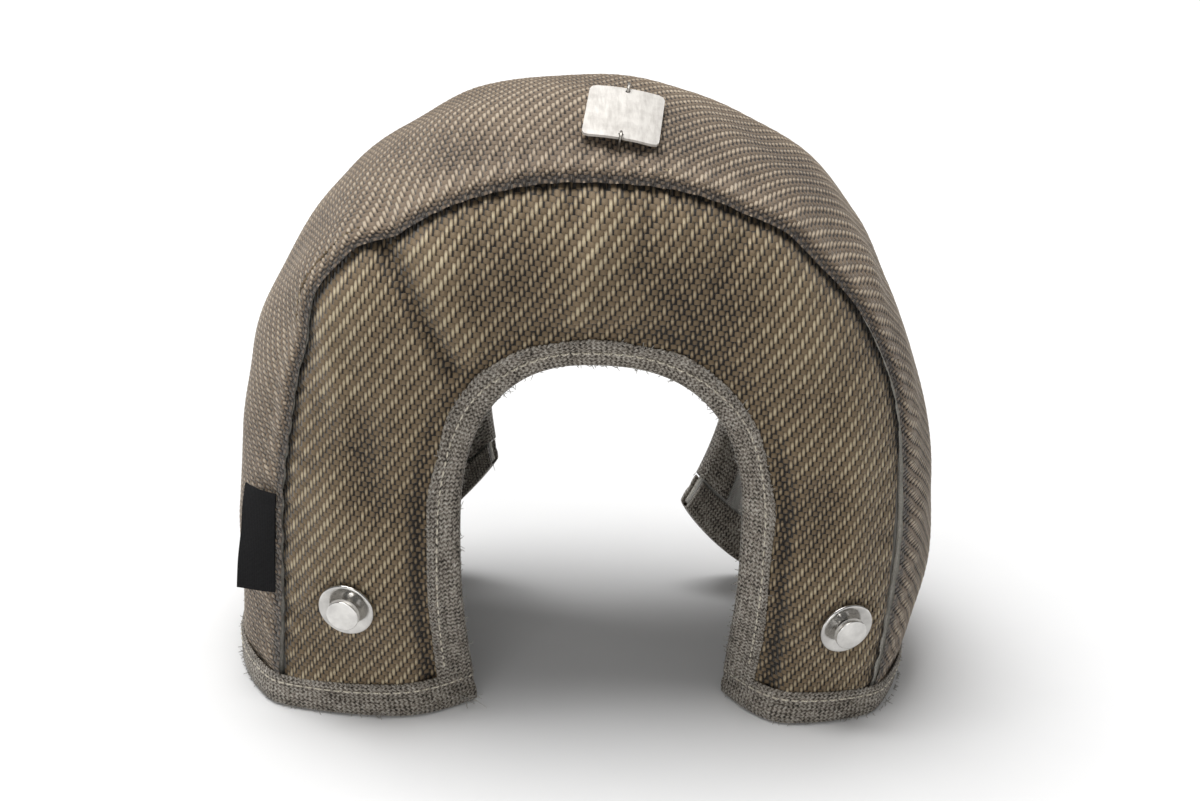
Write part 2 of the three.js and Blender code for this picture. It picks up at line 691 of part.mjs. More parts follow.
// A thin plate bent across its width to follow the crown, with round corners
function namePlate() {
  const half = TAG.width / 2;
  const straight = half - TAG.corner;
  const columns = [-half, -half + 0.3 * TAG.corner, -straight, -straight / 2, 0, straight / 2, straight, half - 0.3 * TAG.corner, half];
  const rows = [-1, -0.5, 0, 0.5, 1];
  const reach = (x) => {
    const past = Math.max(0, Math.abs(x) - straight);
    return TAG.length / 2 - TAG.corner + Math.sqrt(Math.max(0, TAG.corner ** 2 - past ** 2));
  };
  const point = (height) => (x, share) => new THREE.Vector3(x, share * reach(x), PLATE_LIFT + height - plate.bend * x * x);
  const holes = [-1, 1].map((end) => {
    const y = end * (TAG.length / 2 - STAPLE_INSET);
    const hole = new THREE.CylinderGeometry(STAPLE_WIRE + GAP, STAPLE_WIRE + GAP, FAR, 12).rotateX(Math.PI / 2);
    return toSolid(hole.translate(0, y, 0));
  });
  const sheet = slab(columns, rows, point(TAG.sheet), point(0));
  return toGeometry(holes.reduce((solid, hole) => solid.subtract(hole), sheet)).applyMatrix4(plate.place);
}

// How far the cloth lies below the plate's own plane at a distance y along the plate
function clothBelow(y) {
  const middle = new THREE.Vector3().setFromMatrixPosition(plate.place);
  const back = new THREE.Vector3().setFromMatrixColumn(plate.place, 1);
  const out = new THREE.Vector3().setFromMatrixColumn(plate.place, 2);
  const v = (middle.y + back.y * y) / DEPTH;
  return crown.surface(plate.t, v).sub(middle).dot(out);
}

// A wire staple over one end of the plate: one leg through the plate's hole, one past its edge
function staple(end, radius, bite) {
  const inside = end * (TAG.length / 2 - STAPLE_INSET);
  const outside = inside + end * STAPLE_SPAN;
  const top = PLATE_LIFT + TAG.sheet + GAP + STAPLE_WIRE;
  const crest = top + STAPLE_RISE;
  const route = new THREE.CatmullRomCurve3(
    [
      [inside, clothBelow(inside) - bite],
      [inside, top],
      [mix(inside, outside, 0.2), mix(top, crest, 0.75)],
      [mix(inside, outside, 0.5), crest],
      [mix(inside, outside, 0.8), mix(top, crest, 0.75)],
      [outside, top],
      [outside, clothBelow(outside) - bite],
    ].map(([y, z]) => new THREE.Vector3(0, y, z)),
  );
  const section = new THREE.Shape().absarc(0, 0, radius, 0, 2 * Math.PI);
  const wire = new THREE.ExtrudeGeometry(section, { steps: 14, curveSegments: 3, extrudePath: route });
  return wire.applyMatrix4(plate.place);
}

// Side label: a flat tab that leaves the left front seam and stands off the band
function sideLabel() {
  const root = CLOTH / 2;
  const stations = [0, 0.25, 0.5, 0.75, 1].map((k) => legOrDomeAt(mix(LABEL.low, LABEL.high, k)));
  const across = [0, 0.35, 0.7, 1];
  const point = (side) => (t, share) => {
    const out = outOfSeam(t);
    const height = (seamAt(t, 0).y - LABEL.low) / (LABEL.high - LABEL.low);
    const reach = root + share * LABEL.width;
    const turn = THREE.MathUtils.degToRad(mix(LABEL.lowSweep, LABEL.highSweep, height)) * (0.6 + 0.5 * share);
    const lift = (side * LABEL.sheet) / 2;
    const n = reach * Math.cos(turn) - lift * Math.sin(turn);
    const y = reach * Math.sin(turn) + lift * Math.cos(turn);
    const p = seamAt(t, 0).addScaledVector(out, n);
    return new THREE.Vector3(p.x, y, p.y);
  };
  return toGeometry(slab(stations, across, point(1), point(-1)));
}

// The left side's parameter at a height above the floor
function legOrDomeAt(height) {
  let low = 0;
  let high = 0.5;
  for (let i = 0; i < 30; i++) {
    const t = (low + high) / 2;
    if (seamAt(t, 0).y < height) low = t;
    else high = t;
  }
  return low;
}

// Outer cloth: a block whose outer side carries the twill's wales, hollowed from inside
const WALE_ANGLE = Math.atan2(WEFT_PITCH, WARP_PITCH);
const HALF_WALE = (WALES_PER_RIDGE * TWILL_REPEAT * WARP_PITCH * Math.sin(WALE_ANGLE)) / 2;
const HOLLOW_REACH = 0.05;
const hollowRows = (wall) => [-HOLLOW_REACH, ...archStations(wall.hemStart), 1 + HOLLOW_REACH];
const ridge = (row, fromTape) => (row % 2 === 0 ? 1 : -1) * RIDGE_RELIEF * smooth(fromTape / RIDGE_FADE);

function twillFace(wall) {
  const hand = -wall.outward;
  const reach = 2 * Math.hypot(SEAM.left, (SEAM.spring + SEAM.rise) / 2);
  const middle = (SEAM.spring + SEAM.rise) / 2;
  const rowCount = Math.ceil(reach / HALF_WALE);
  const stepCount = Math.ceil(reach / RIDGE_STEP);
  const rows = Array.from({ length: rowCount + 1 }, (_, i) => i - rowCount / 2);
  const steps = Array.from({ length: stepCount + 1 }, (_, i) => (i - stepCount / 2) * RIDGE_STEP);
  const place = (row, along) => {
    const across = row * HALF_WALE;
    const x = hand * (along * Math.cos(WALE_ANGLE) - across * Math.sin(WALE_ANGLE));
    const z = middle + along * Math.sin(WALE_ANGLE) + across * Math.cos(WALE_ANGLE);
    return [x, z];
  };
  const outer = (row, along) => {
    const [x, z] = place(row, along);
    const { t, w } = wall.locate(x, z);
    const fromTape = Math.min(w * wall.width(t), fromFoot(t)) - TAPE_WIDTH;
    return new THREE.Vector3(x, wall.yOver(x, z) + wall.outward * ridge(row - rows[0], fromTape), z);
  };
  const inner = (row, along) => {
    const [x, z] = place(row, along);
    return new THREE.Vector3(x, wall.plane - wall.outward * (FAR / 2), z);
  };
  const hollow = slab(
    hollowRows(wall),
    [-HOLLOW_REACH, ...faceStations, 1 + HOLLOW_REACH],
    (t, w) => wall.inside(t, w, CLOTH),
    (t, w) => wall.inside(t, w, CLOTH).setY(wall.plane - wall.outward * FAR),
  );
  return slab(rows, steps, outer, inner).subtract(hollow);
}

const TWILL_COLUMNS = [-0.04, 0.05, 0.16, 0.32, 0.5, 0.68, 0.84, 0.95, 1.04];

function twillBand() {
  const pitch = HALF_WALE / Math.sin(WALE_ANGLE);
  const slant = DEPTH / Math.tan(WALE_ANGLE);
  const rowCount = Math.ceil((SEAM_LENGTH + slant + 4 * TAPE_WIDTH) / pitch);
  const rows = Array.from({ length: rowCount + 1 }, (_, i) => i);
  const lift = (depth) => (row, v) => {
    const length = row * pitch - slant - 2 * TAPE_WIDTH + v * slant;
    const t = seamParameter(length);
    const above = depth > 0 ? 0 : ridge(row, fromFoot(t) - TAPE_WIDTH);
    return crown.surface(t, v).addScaledVector(crown.inward(t, v), depth - above);
  };
  const hollow = slab(
    hollowRows(crown),
    [-HOLLOW_REACH, ...bandStations, 1 + HOLLOW_REACH],
    (t, v) => crown.inside(t, v, CLOTH),
    (t, v) => crown.inside(t, v, FAR / 4),
  );
  return slab(rows, TWILL_COLUMNS, lift(0), lift(FAR / 5)).subtract(hollow);
}

// The largest body of a solid, without the crumbs that a cut leaves at its edges
function mainBody(solid) {
  const bodies = solid.decompose();
  return bodies.reduce((best, body) => (body.volume() > best.volume() ? body : best));
}

// The three walls, each as cloth, mat and lining. The cloth is cut from its ridged block, and the studs
// pass through the cloth into the mat.
function wallPieces(name, wall, columns, clothBlock, rooms) {
  const layer = (top, bottom) =>
    slab(
      archStations(wall.hemStart),
      columns,
      (a, b) => wall.inside(a, b, layers[top](wall, a, b)),
      (a, b) => wall.inside(a, b, layers[bottom](wall, a, b)),
    );
  const pierced = (solid) => mainBody(rooms.reduce((left, room) => left.subtract(room), solid));
  return {
    [name + "_outer_cloth"]: pierced(clothBlock),
    [name + "_insulation_mat"]: pierced(layer("matFace", "matBack")),
    [name + "_inner_lining"]: layer("liningFace", "liningBack"),
  };
}

const staples = { front: [-1], rear: [1] };
const stapleRoom = [-1, 1].map((end) => toSolid(staple(end, STAPLE_WIRE + GAP, STAPLE_BITE + GAP)));

const faceCloth = (wall) =>
  [openingTape(wall, BED_EASE), ...hemBed].reduce(
    (cloth, bed) => cloth.subtract(bed),
    twillFace(wall).intersect(faceBlock(wall)).intersect(aboveHem),
  );
const bandCloth = hemBed.reduce((cloth, bed) => cloth.subtract(bed), twillBand().intersect(bandBlock).intersect(aboveHem));
const rearCloth = rearTrim.reduce((cloth, trim) => cloth.subtract(trim), faceCloth(rear));

const solids = {
  ...wallPieces("front", front, faceStations, faceCloth(front), studRooms(front)),
  ...wallPieces("crown", crown, bandStations, bandCloth, stapleRoom),
  ...wallPieces("rear", rear, faceStations, rearCloth, studRooms(rear)),
  front_opening_binding: openingTape(front),
  rear_opening_binding: openingTape(rear),
  left_hem_binding: hemTape(0),
  right_hem_binding: hemTape(1),
};

// Finishes
const finish = (color, roughness, metalness) => new THREE.MeshStandardMaterial({ color, roughness, metalness });
const finishes = {
  outer_cloth: () => finish(0x8a7a62, 0.7, 0),
  insulation_mat: () => finish(0xe6e2d8, 0.95, 0),
  inner_lining: () => finish(0xb9b7b0, 0.85, 0),
  binding: () => finish(0x8f8a80, 0.55, 0.4),
  steel: () => finish(0xd2d2d0, 0.22, 1),
  plate: () => finish(0xdedbd4, 0.35, 0.9),
  label: () => finish(0x17171a, 0.9, 0),
};

const blanket = new THREE.Group();

function add(name, geometry, material) {
  const mesh = new THREE.Mesh(geometry, material);
  mesh.name = name;
  blanket.add(mesh);
}

for (const [name, solid] of Object.entries(solids)) {
  const kind = Object.keys(finishes).find((key) => name.endsWith(key));
  add(name, toGeometry(solid), finishes[kind]());
}
for (const [name, seat] of Object.entries(seats)) {
  add(name + "_lacing_stud", lacingStud().applyMatrix4(seat.frame), finishes.steel());
  add(name + "_cup_washer", cupWasher().applyMatrix4(seat.frame), finishes.steel());
  add(name + "_backing_washer", backingWasher().applyMatrix4(seat.frame), finishes.steel());
}
add("id_tag", namePlate(), finishes.plate());
for (const [end, [sign]] of Object.entries(staples)) {
  add("tag_staple_" + end, staple(sign, STAPLE_WIRE, STAPLE_BITE), finishes.steel());
}
add("side_label", sideLabel(), finishes.label());

// The origin is the middle of the part's footprint, on the floor
const box = new THREE.Box3().setFromObject(blanket);
blanket.position.set(-(box.min.x + box.max.x) / 2, -(box.min.y + box.max.y) / 2, -box.min.z);

export default blanket;
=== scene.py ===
import math

import bpy
import numpy as np
from mathutils import Matrix, Vector


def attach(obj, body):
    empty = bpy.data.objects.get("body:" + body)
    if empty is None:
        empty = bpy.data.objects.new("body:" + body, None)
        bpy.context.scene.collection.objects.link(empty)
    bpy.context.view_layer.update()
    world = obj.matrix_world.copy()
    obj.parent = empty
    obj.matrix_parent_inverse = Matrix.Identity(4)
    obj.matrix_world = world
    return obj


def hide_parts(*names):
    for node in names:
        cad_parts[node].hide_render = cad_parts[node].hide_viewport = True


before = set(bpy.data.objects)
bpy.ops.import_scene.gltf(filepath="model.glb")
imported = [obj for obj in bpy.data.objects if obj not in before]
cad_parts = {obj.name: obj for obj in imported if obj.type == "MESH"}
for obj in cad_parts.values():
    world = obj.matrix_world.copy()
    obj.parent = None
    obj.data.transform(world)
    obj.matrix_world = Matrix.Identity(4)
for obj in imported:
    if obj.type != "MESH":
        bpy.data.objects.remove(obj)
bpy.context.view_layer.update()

# Sizes in millimetres. The sewing plan starts at the front seam plane, and SHIFT takes it to the part's origin.
MM = 0.001
SHIFT = np.array([0.01, -44.23, 0.0])
SEAM = dict(
    left=96, right=96, spring=56, rise=117, power=2.3, left_tuck=0.6, right_tuck=6, lean=-3.3,
    left_foot=0, right_foot=0,
)
DEPTH = 92
CROWN_BULGE = 13
CROWN_FULLNESS = 2.4
SEAM_WAVER = [
    [0, 0], [0.1, -1.9], [0.19, -3.2], [0.24, -1.6], [0.29, 3.6], [0.325, 2.8], [0.365, -2.6], [0.43, -2.4],
    [0.5, -1.4], [0.6, -0.3], [0.64, 1.8], [0.67, 1.2], [0.72, 2.4], [0.77, 2.6], [0.85, 0.8], [0.93, -0.2], [1, 0],
]
CREST_STRAY = [
    [0, 0.4], [0.05, 1.3], [0.11, 1.4], [0.16, 0.2], [0.2, -0.3], [0.29, -1.8], [0.38, -1.3], [0.44, 0.6],
    [0.5, 1.7], [0.56, 0.2], [0.6, -0.1], [0.65, 1.8], [0.7, 0], [0.74, -1.7], [0.79, -1.6], [0.86, 1.3],
    [0.9, 1.5], [0.95, -0.4], [1, -1.6],
]
WAVER_REACH = 0.4
LEG_SHARE = 0.125
STUDS = [(-71.6, 40.0), (78.0, 36.2)]
FRONT = dict(
    line=dict(
        left=39.2, right=46.2, spring=67, rise=51.3, power=2.42, left_tuck=5.6, right_tuck=0.9, lean=0,
        left_foot=0, right_foot=0,
    ),
    plane=0, outward=-1, edge=9, crest=16, left_edge=-5, right_edge=-12, foot_crest=7.5, sag=0,
    studs=STUDS,
)
REAR = dict(
    line=dict(
        left=33.5, right=50, spring=82, rise=32, power=2.2, left_tuck=19, right_tuck=36.5, lean=2,
        left_foot=43, right_foot=29,
    ),
    plane=DEPTH, outward=1, edge=5, crest=12, left_edge=2, right_edge=2, foot_crest=7, sag=11,
    studs=STUDS,
)
SWELL_HEIGHT = 55
CREST_SHARE = 0.38
EDGE_ROLL = 1.8
SEAM_ROLL = 2.1
CLOTH = 1.4
MAT = 6.5
MAT_PINCHED = 1.6
MAT_RAMP = 12
LAYER_GAP = 0.3
LINING = 1.0
TAPE_WIDTH = 10.6
TAPE = 1.0
HEM_LIFT = 1.3
TAPE_SHARE = 9.3 / 56.8
SEAT_RADIUS = 10.5
SEAT_FADE = 6
SEAT_PRESS = 0.5
WARP_PITCH = 1.24
WEFT_PITCH = 1.5
CROWN_WARP = 1.3
CROWN_WEFT = 1.55
TOW_RELIEF = 0.3
CUP_BASE = 0.7
LEG_DEPTHS = dict(outer=-1.3, outer_back=-0.3, inner_back=4.9, inner=5.9)
VALLEY_DEPTH = 3.4
TAPE_DIP = 1.7
STITCH_PITCH = 3.1
LABEL = dict(low=38, high=70.5, width=12.5, sheet=0.5, low_sweep=14, high_sweep=34)


# Lines and surfaces of the sewing plan

def smooth(x):
    """Three x squared less two x cubed, between 0 and 1."""
    c = np.clip(x, 0, 1)
    return c * c * (3 - 2 * c)


def blend(a, b, k):
    """a and b mixed in the share k."""
    return a + (b - a) * k


def through(pairs, t):
    """A value that runs smoothly from pair to pair and stays level past the ends."""
    knots = np.array(pairs, float)
    i = np.clip(np.searchsorted(knots[:, 0], t, side="right") - 1, 0, len(knots) - 2)
    share = (t - knots[i, 0]) / (knots[i + 1, 0] - knots[i, 0])
    return blend(knots[i, 1], knots[i + 1, 1], smooth(share))


def horseshoe(line, t):
    """A leg, a superellipse dome and a leg. Across, the dome is half times cosine to 2 over the power, and up it
    is the rise times sine to the same."""
    t = np.asarray(t, float)
    on_left = t < 0.5
    share = np.where(on_left, t, 1 - t) / LEG_SHARE
    foot = np.where(on_left, line["left_foot"], line["right_foot"])
    half = np.where(on_left, line["left"], line["right"])
    tuck = np.where(on_left, line["left_tuck"], line["right_tuck"])
    z = blend(foot, line["spring"], share)
    leg = np.where(on_left, -1, 1) * (half - tuck * ((line["spring"] - z) / line["spring"]) ** 2)
    angle = np.pi * (np.clip(t, LEG_SHARE, 1 - LEG_SHARE) - LEG_SHARE) / (1 - 2 * LEG_SHARE)
    across, up = np.cos(angle), np.clip(np.sin(angle), 0, 1)
    dome = line["lean"] * up - np.sign(across) * half * np.abs(across) ** (2 / line["power"])
    top = line["spring"] + line["rise"] * up ** (2 / line["power"])
    return np.where(share < 1, leg, dome), np.where(share < 1, z, top)


def out_of_seam(t):
    """Unit direction square to the even seam line, turning level towards the feet."""
    x0, z0 = horseshoe(SEAM, t - 1e-4)
    x1, z1 = horseshoe(SEAM, t + 1e-4)
    length = np.hypot(x1 - x0, z1 - z0)
    ox = -(z1 - z0) / length
    oz = (x1 - x0) / length * smooth(np.minimum(t, 1 - t) / LEG_SHARE)
    size = np.hypot(ox, oz)
    return ox / size, oz / size


def seam_at(t, v):
    """The seam line with its waver, which dies out behind the front."""
    x, z = horseshoe(SEAM, t)
    ox, oz = out_of_seam(t)
    waver = through(SEAM_WAVER, t) * (1 - smooth(np.asarray(v, float) / WAVER_REACH))
    return x + ox * waver, z + oz * waver


def crown_surface(t, v):
    """The seam carried back by v, lifted by the bulge times one less a power of the way from the middle."""
    t, v = np.broadcast_arrays(np.asarray(t, float), np.asarray(v, float))
    x, z = seam_at(t, v)
    ox, oz = out_of_seam(t)
    lift = (CROWN_BULGE + through(CREST_STRAY, t)) * (1 - np.abs(2 * v - 1) ** CROWN_FULLNESS)
    return np.stack([x + ox * lift, v * DEPTH, z + oz * lift], -1)


def free_swell(face, w, x, z):
    """Height of a face over its seam plane: up from the opening's edge to a crest, then down to the seam."""
    rise = smooth(z / SWELL_HEIGHT)
    edge = blend(np.where(x < 0, face["left_edge"], face["right_edge"]), face["edge"], rise)
    crest = blend(face["foot_crest"], face["crest"], rise)
    near = blend(crest, edge, np.clip(1 - w / CREST_SHARE, 0, 2) ** EDGE_ROLL)
    far = crest * (1 - np.clip((w - CREST_SHARE) / (1 - CREST_SHARE), 0, 2) ** SEAM_ROLL)
    return np.where(w < CREST_SHARE, near, far)


def sag_at(face, t, w):
    """How far the hem hangs between its ends."""
    fade = np.maximum(0, 1 - np.minimum(t, 1 - t) / LEG_SHARE)
    return face["sag"] * fade ** 2 * np.sin(np.pi * np.clip(w, 0, 1) ** 0.8)


def locate(face, x, z):
    """Ruling t and share w along it for points of a face, the ruling found by halving."""
    x, z = np.broadcast_arrays(np.asarray(x, float), np.asarray(z, float))
    lift = np.zeros(x.shape)
    for _ in range(3 if face["sag"] else 1):
        low = np.where(x < face["line"]["lean"], -0.1, 0.5)
        high = low + 0.6
        for _ in range(22):
            t = (low + high) / 2
            fx, fz = horseshoe(face["line"], t)
            sx, sz = seam_at(t, face["plane"] / DEPTH)
            before = (sx - fx) * (z + lift - fz) - (sz - fz) * (x - fx) < 0
            low, high = np.where(before, t, low), np.where(before, high, t)
        w = ((x - fx) * (sx - fx) + (z + lift - fz) * (sz - fz)) / ((sx - fx) ** 2 + (sz - fz) ** 2)
        lift = sag_at(face, t, w)
    return t, np.clip(w, -0.15, 1.2)


def seat_planes(face):
    """Tangent plane of the free face at each stud: its middle, height and slopes."""
    planes = []
    for x, z in face["studs"]:
        px, pz = np.array([x, x + 1, x - 1, x, x]), np.array([z, z, z, z + 1, z - 1])
        value = free_swell(face, locate(face, px, pz)[1], px, pz)
        planes.append((x, z, value[0] - SEAT_PRESS, (value[1] - value[2]) / 2, (value[3] - value[4]) / 2))
    return planes


FRONT["seats"] = seat_planes(FRONT)
REAR["seats"] = seat_planes(REAR)


def swell(face, w, x, z):
    """The free swell, flattened to its tangent plane under each washer."""
    value = free_swell(face, w, x, z)
    for sx, sz, here, dx, dz in face["seats"]:
        flat = here + dx * (x - sx) + dz * (z - sz)
        value = blend(value, flat, smooth((SEAT_RADIUS + SEAT_FADE - np.hypot(x - sx, z - sz)) / SEAT_FADE))
    return value


def face_surface(face, t, w):
    """Ruled from the opening line to the seam line, and swollen out of its plane."""
    t, w = np.broadcast_arrays(np.asarray(t, float), np.asarray(w, float))
    fx, fz = horseshoe(face["line"], t)
    sx, sz = seam_at(t, face["plane"] / DEPTH)
    x, z = blend(fx, sx, w), blend(fz, sz, w) - sag_at(face, t, w)
    return np.stack([x, face["plane"] + face["outward"] * swell(face, w, x, z), z], -1)


def wall_surface(wall, t, w):
    """The outer surface of a face, or of the crown band."""
    return crown_surface(t, w) if wall is None else face_surface(wall, t, w)


def unit(v):
    """Vectors at length 1."""
    return v / np.maximum(np.linalg.norm(v, axis=-1, keepdims=True), 1e-9)


def inward(wall, t, w):
    """Unit normal into the wall, level near a foot."""
    t, w = np.broadcast_arrays(np.asarray(t, float), np.asarray(w, float))
    across = w if wall is None else np.maximum(w, 0.02)
    a = wall_surface(wall, t + 2e-3, across) - wall_surface(wall, t - 2e-3, across)
    b = wall_surface(wall, t, across + 2e-3) - wall_surface(wall, t, across - 2e-3)
    n = unit(np.cross(a, b))
    if wall is None:
        ox, oz = out_of_seam(t)
        hint = np.stack([-ox, np.zeros_like(ox), -oz], -1)
    else:
        hint = np.array([0.0, -wall["outward"], 0.0])
    n = n * np.where((n * hint).sum(-1, keepdims=True) < 0, -1, 1)
    level = n * np.array([1, 1, 0])
    return np.where((np.minimum(t, 1 - t) < 0.006)[..., None], unit(level), n)


def inside(wall, t, w, depth):
    """A place at a depth in the wall. At a seam the depth runs down the mitre between the two walls."""
    t, w = np.broadcast_arrays(np.asarray(t, float), np.asarray(w, float))
    depth = np.broadcast_to(depth, t.shape)[..., None]
    p = wall_surface(wall, t, w)
    free = p + inward(wall, t, w) * depth
    ox, oz = out_of_seam(t)
    out = np.stack([ox, np.zeros_like(ox), oz], -1)
    run = depth * math.sqrt(0.5)
    if wall is None:
        back = np.where(w <= 0, 1.0, -1.0)[..., None] * np.array([0.0, 1.0, 0.0])
        return np.where(((w <= 0) | (w >= 1))[..., None], p - out * run + back * (run + 0.2), free)
    mitre = p - out * (run + 0.2) - np.array([0.0, wall["outward"], 0.0]) * run
    return np.where((w >= 1)[..., None], mitre, free)


def run_of(points):
    """Distance along a line of points from its start."""
    steps = np.linalg.norm(np.diff(points, axis=0), axis=1)
    return np.concatenate([[0], np.cumsum(steps)])


CREST_T = np.linspace(-0.01, 1.01, 4000)
CREST_RUN = run_of(crown_surface(CREST_T, 0.5)) - np.interp(0, CREST_T, run_of(crown_surface(CREST_T, 0.5)))
SIDE_V = np.linspace(-0.02, 1.02, 400)
SIDE_RUN = run_of(crown_surface(0.5, SIDE_V))


def foot_distance(t):
    """Distance of a ruling from the nearer foot, along the crest."""
    return np.interp(np.minimum(t, 1 - t), CREST_T, CREST_RUN)


def face_width(face, t):
    """Length of a ruling."""
    fx, fz = horseshoe(face["line"], t)
    sx, sz = seam_at(t, face["plane"] / DEPTH)
    return np.hypot(sx - fx, sz - fz)


def mat_thickness(wall, t, w):
    """Full in the open, thin where a seam or the tape pinches it."""
    ramp = smooth((foot_distance(t) - TAPE_WIDTH) / MAT_RAMP)
    if wall is None:
        ramp = ramp * smooth(np.minimum(w, 1 - w) * DEPTH / MAT_RAMP)
    else:
        width = face_width(wall, t)
        ramp = ramp * smooth((w * width - TAPE_WIDTH) / MAT_RAMP) * smooth((1 - w) * width / MAT_RAMP)
    return MAT_PINCHED + (MAT - MAT_PINCHED) * ramp


def twill(u, v):
    """Height of a two-over-two twill at u and v millimetres: half-round tows that bow up along each float."""
    i, j = np.floor(u / WARP_PITCH), np.floor(v / WEFT_PITCH)
    fu, fv = u / WARP_PITCH - i, v / WEFT_PITCH - j
    k = np.mod(i - j, 4)
    warp = np.sqrt(np.clip(1 - (2 * fu - 1) ** 2, 0, 1)) * (0.35 + 0.65 * np.sin(np.pi * (1 - k + fv) / 2))
    weft = np.sqrt(np.clip(1 - (2 * fv - 1) ** 2, 0, 1)) * (0.35 + 0.65 * np.sin(np.pi * (k - 2 + fu) / 2))
    return np.where(k < 2, warp, weft)


def unevenness(x, y, scale):
    """A soft wander between about -1 and 1: the mean of five slanting sines."""
    angles = np.array([0.3, 1.4, 2.2, 3.9, 5.1])
    rates = np.array([1.0, 1.37, 0.71, 1.83, 0.53]) * 2 * np.pi / scale
    phases = np.array([0.5, 2.1, 4.0, 1.2, 5.6])
    x, y = np.asarray(x)[..., None], np.asarray(y)[..., None]
    return np.sin((x * np.cos(angles) + y * np.sin(angles)) * rates + phases).mean(-1) * 1.8


# Putting surfaces into meshes

def put(name, points, faces, uv, material, replaced, facing=None, painted_shading=None):
    """Points in millimetres and faces become a piece that rides on the body. An open piece is turned to its
    facing, and a closed one by the sign of its volume."""
    points = points.reshape(-1, 3)
    a, b, c = (points[faces[:, k]] for k in range(3))
    normal = np.cross(b - a, c - a)
    if faces.shape[1] == 4:
        d = points[faces[:, 3]]
        normal = normal + np.cross(c - a, d - a)
    way = (normal * ((a + b + c) / 3)).sum() if facing is None else (normal * facing).sum()
    if way < 0:
        faces = faces[:, ::-1]
    mesh = bpy.data.meshes.new(name)
    mesh.from_pydata((points + SHIFT) * MM, [], np.ascontiguousarray(faces))
    if uv is not None:
        layer = mesh.uv_layers.new(name="weave")
        layer.data.foreach_set("uv", uv.reshape(-1, 2)[faces.ravel()].astype(np.float32).ravel())
    # A per-point attribute of painted light and shade, paler on ridges and darker in hollows, for the cloth's finish.
    if painted_shading is not None:
        mesh.attributes.new("painted_shading", "FLOAT", "POINT").data.foreach_set("value", painted_shading.astype(np.float32).ravel())
    mesh.polygons.foreach_set("use_smooth", np.ones(len(faces), bool))
    mesh.materials.append(material)
    mesh.update()
    piece = bpy.data.objects.new(name, mesh)
    bpy.context.scene.collection.objects.link(piece)
    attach(piece, "root")
    if replaced:
        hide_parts(*replaced)
    return piece


def grid_faces(n, m, round_rows=False):
    """Quads between n rows of m points, with each row closed on itself if it is round."""
    index = np.arange(n * m).reshape(n, m)
    if round_rows:
        index = np.concatenate([index, index[:, :1]], 1)
    return np.stack([index[:-1, :-1], index[1:, :-1], index[1:, 1:], index[:-1, 1:]], -1).reshape(-1, 4)


def between(outer, inner):
    """A closed slab between two surfaces on one grid: points and faces."""
    n, m = outer.shape[:2]
    o = np.arange(n * m).reshape(n, m)
    i = o + n * m
    skins = [grid_faces(n, m), (grid_faces(n, m) + n * m)[:, ::-1]]
    rims = [
        np.stack([o[1:, 0], o[:-1, 0], i[:-1, 0], i[1:, 0]], -1),
        np.stack([o[:-1, -1], o[1:, -1], i[1:, -1], i[:-1, -1]], -1),
        np.stack([o[0, :-1], o[0, 1:], i[0, 1:], i[0, :-1]], -1),
        np.stack([o[-1, 1:], o[-1, :-1], i[-1, :-1], i[-1, 1:]], -1),
    ]
    return np.concatenate([outer.reshape(-1, 3), inner.reshape(-1, 3)]), np.concatenate(skins + rims)


def carried(rings):
    """A folded section carried along a path. Its second half runs back along its first, so quads close it."""
    n, k = rings.shape[:2]
    q = np.arange(k // 2 - 1)
    cap = np.stack([q, q + 1, k - 2 - q, k - 1 - q], -1)
    return rings.reshape(-1, 3), np.concatenate([grid_faces(n, k, True), cap, cap[:, ::-1] + (n - 1) * k])


# Finishes

class Finish:
    """A node material built up from plain sums."""

    def __init__(self, name):
        self.material = bpy.data.materials.new(name)
        self.material.use_nodes = True
        self.tree = self.material.node_tree
        self.shader = self.tree.nodes["Principled BSDF"]

    def node(self, kind, inputs=(), **settings):
        made = self.tree.nodes.new(kind)
        for key, value in settings.items():
            setattr(made, key, value)
        for key, value in dict(inputs).items():
            self.feed(made.inputs[key], value)
        return made

    def feed(self, socket, value):
        if isinstance(value, bpy.types.NodeSocket):
            self.tree.links.new(value, socket)
        else:
            socket.default_value = value

    def sum(self, operation, a, b=0.0, c=0.0):
        return self.node("ShaderNodeMath", {0: a, 1: b, 2: c}, operation=operation).outputs[0]

    def noise(self, vector, scale, detail=3.0, rough=0.6):
        inputs = {"Vector": vector, "Scale": scale, "Detail": detail, "Roughness": rough}
        return self.node("ShaderNodeTexNoise", inputs).outputs["Fac"]

    def stretch(self, vector, scale, turn=0.0):
        inputs = {"Vector": vector, "Scale": scale, "Rotation": (0.0, 0.0, turn)}
        return self.node("ShaderNodeMapping", inputs).outputs[0]

    def ramp(self, value, stops):
        made = self.node("ShaderNodeValToRGB", {"Fac": value})
        steps = made.color_ramp.elements
        while len(steps) < len(stops):
            steps.new(0.5)
        for step, (at, colour) in zip(steps, stops):
            step.position = at
            step.color = (*colour, 1)
        return made.outputs["Color"]

    def tint(self, share, a, b, kind="MIX"):
        made = self.node("ShaderNodeMix", data_type="RGBA", blend_type=kind)
        self.feed(made.inputs[0], share)
        self.feed(made.inputs[6], a)
        self.feed(made.inputs[7], b)
        return made.outputs[2]

    def set(self, **values):
        for key, value in values.items():
            self.feed(self.shader.inputs[key.replace("_", " ")], value)

    def bump(self, height, distance, strength=1.0):
        made = self.node("ShaderNodeBump", {"Height": height, "Distance": distance * MM, "Strength": strength})
        self.feed(self.shader.inputs["Normal"], made.outputs[0])

    def plan(self):
        return self.node("ShaderNodeUVMap", uv_map="weave").outputs[0]

    def place(self):
        return self.node("ShaderNodeTexCoord").outputs["Object"]


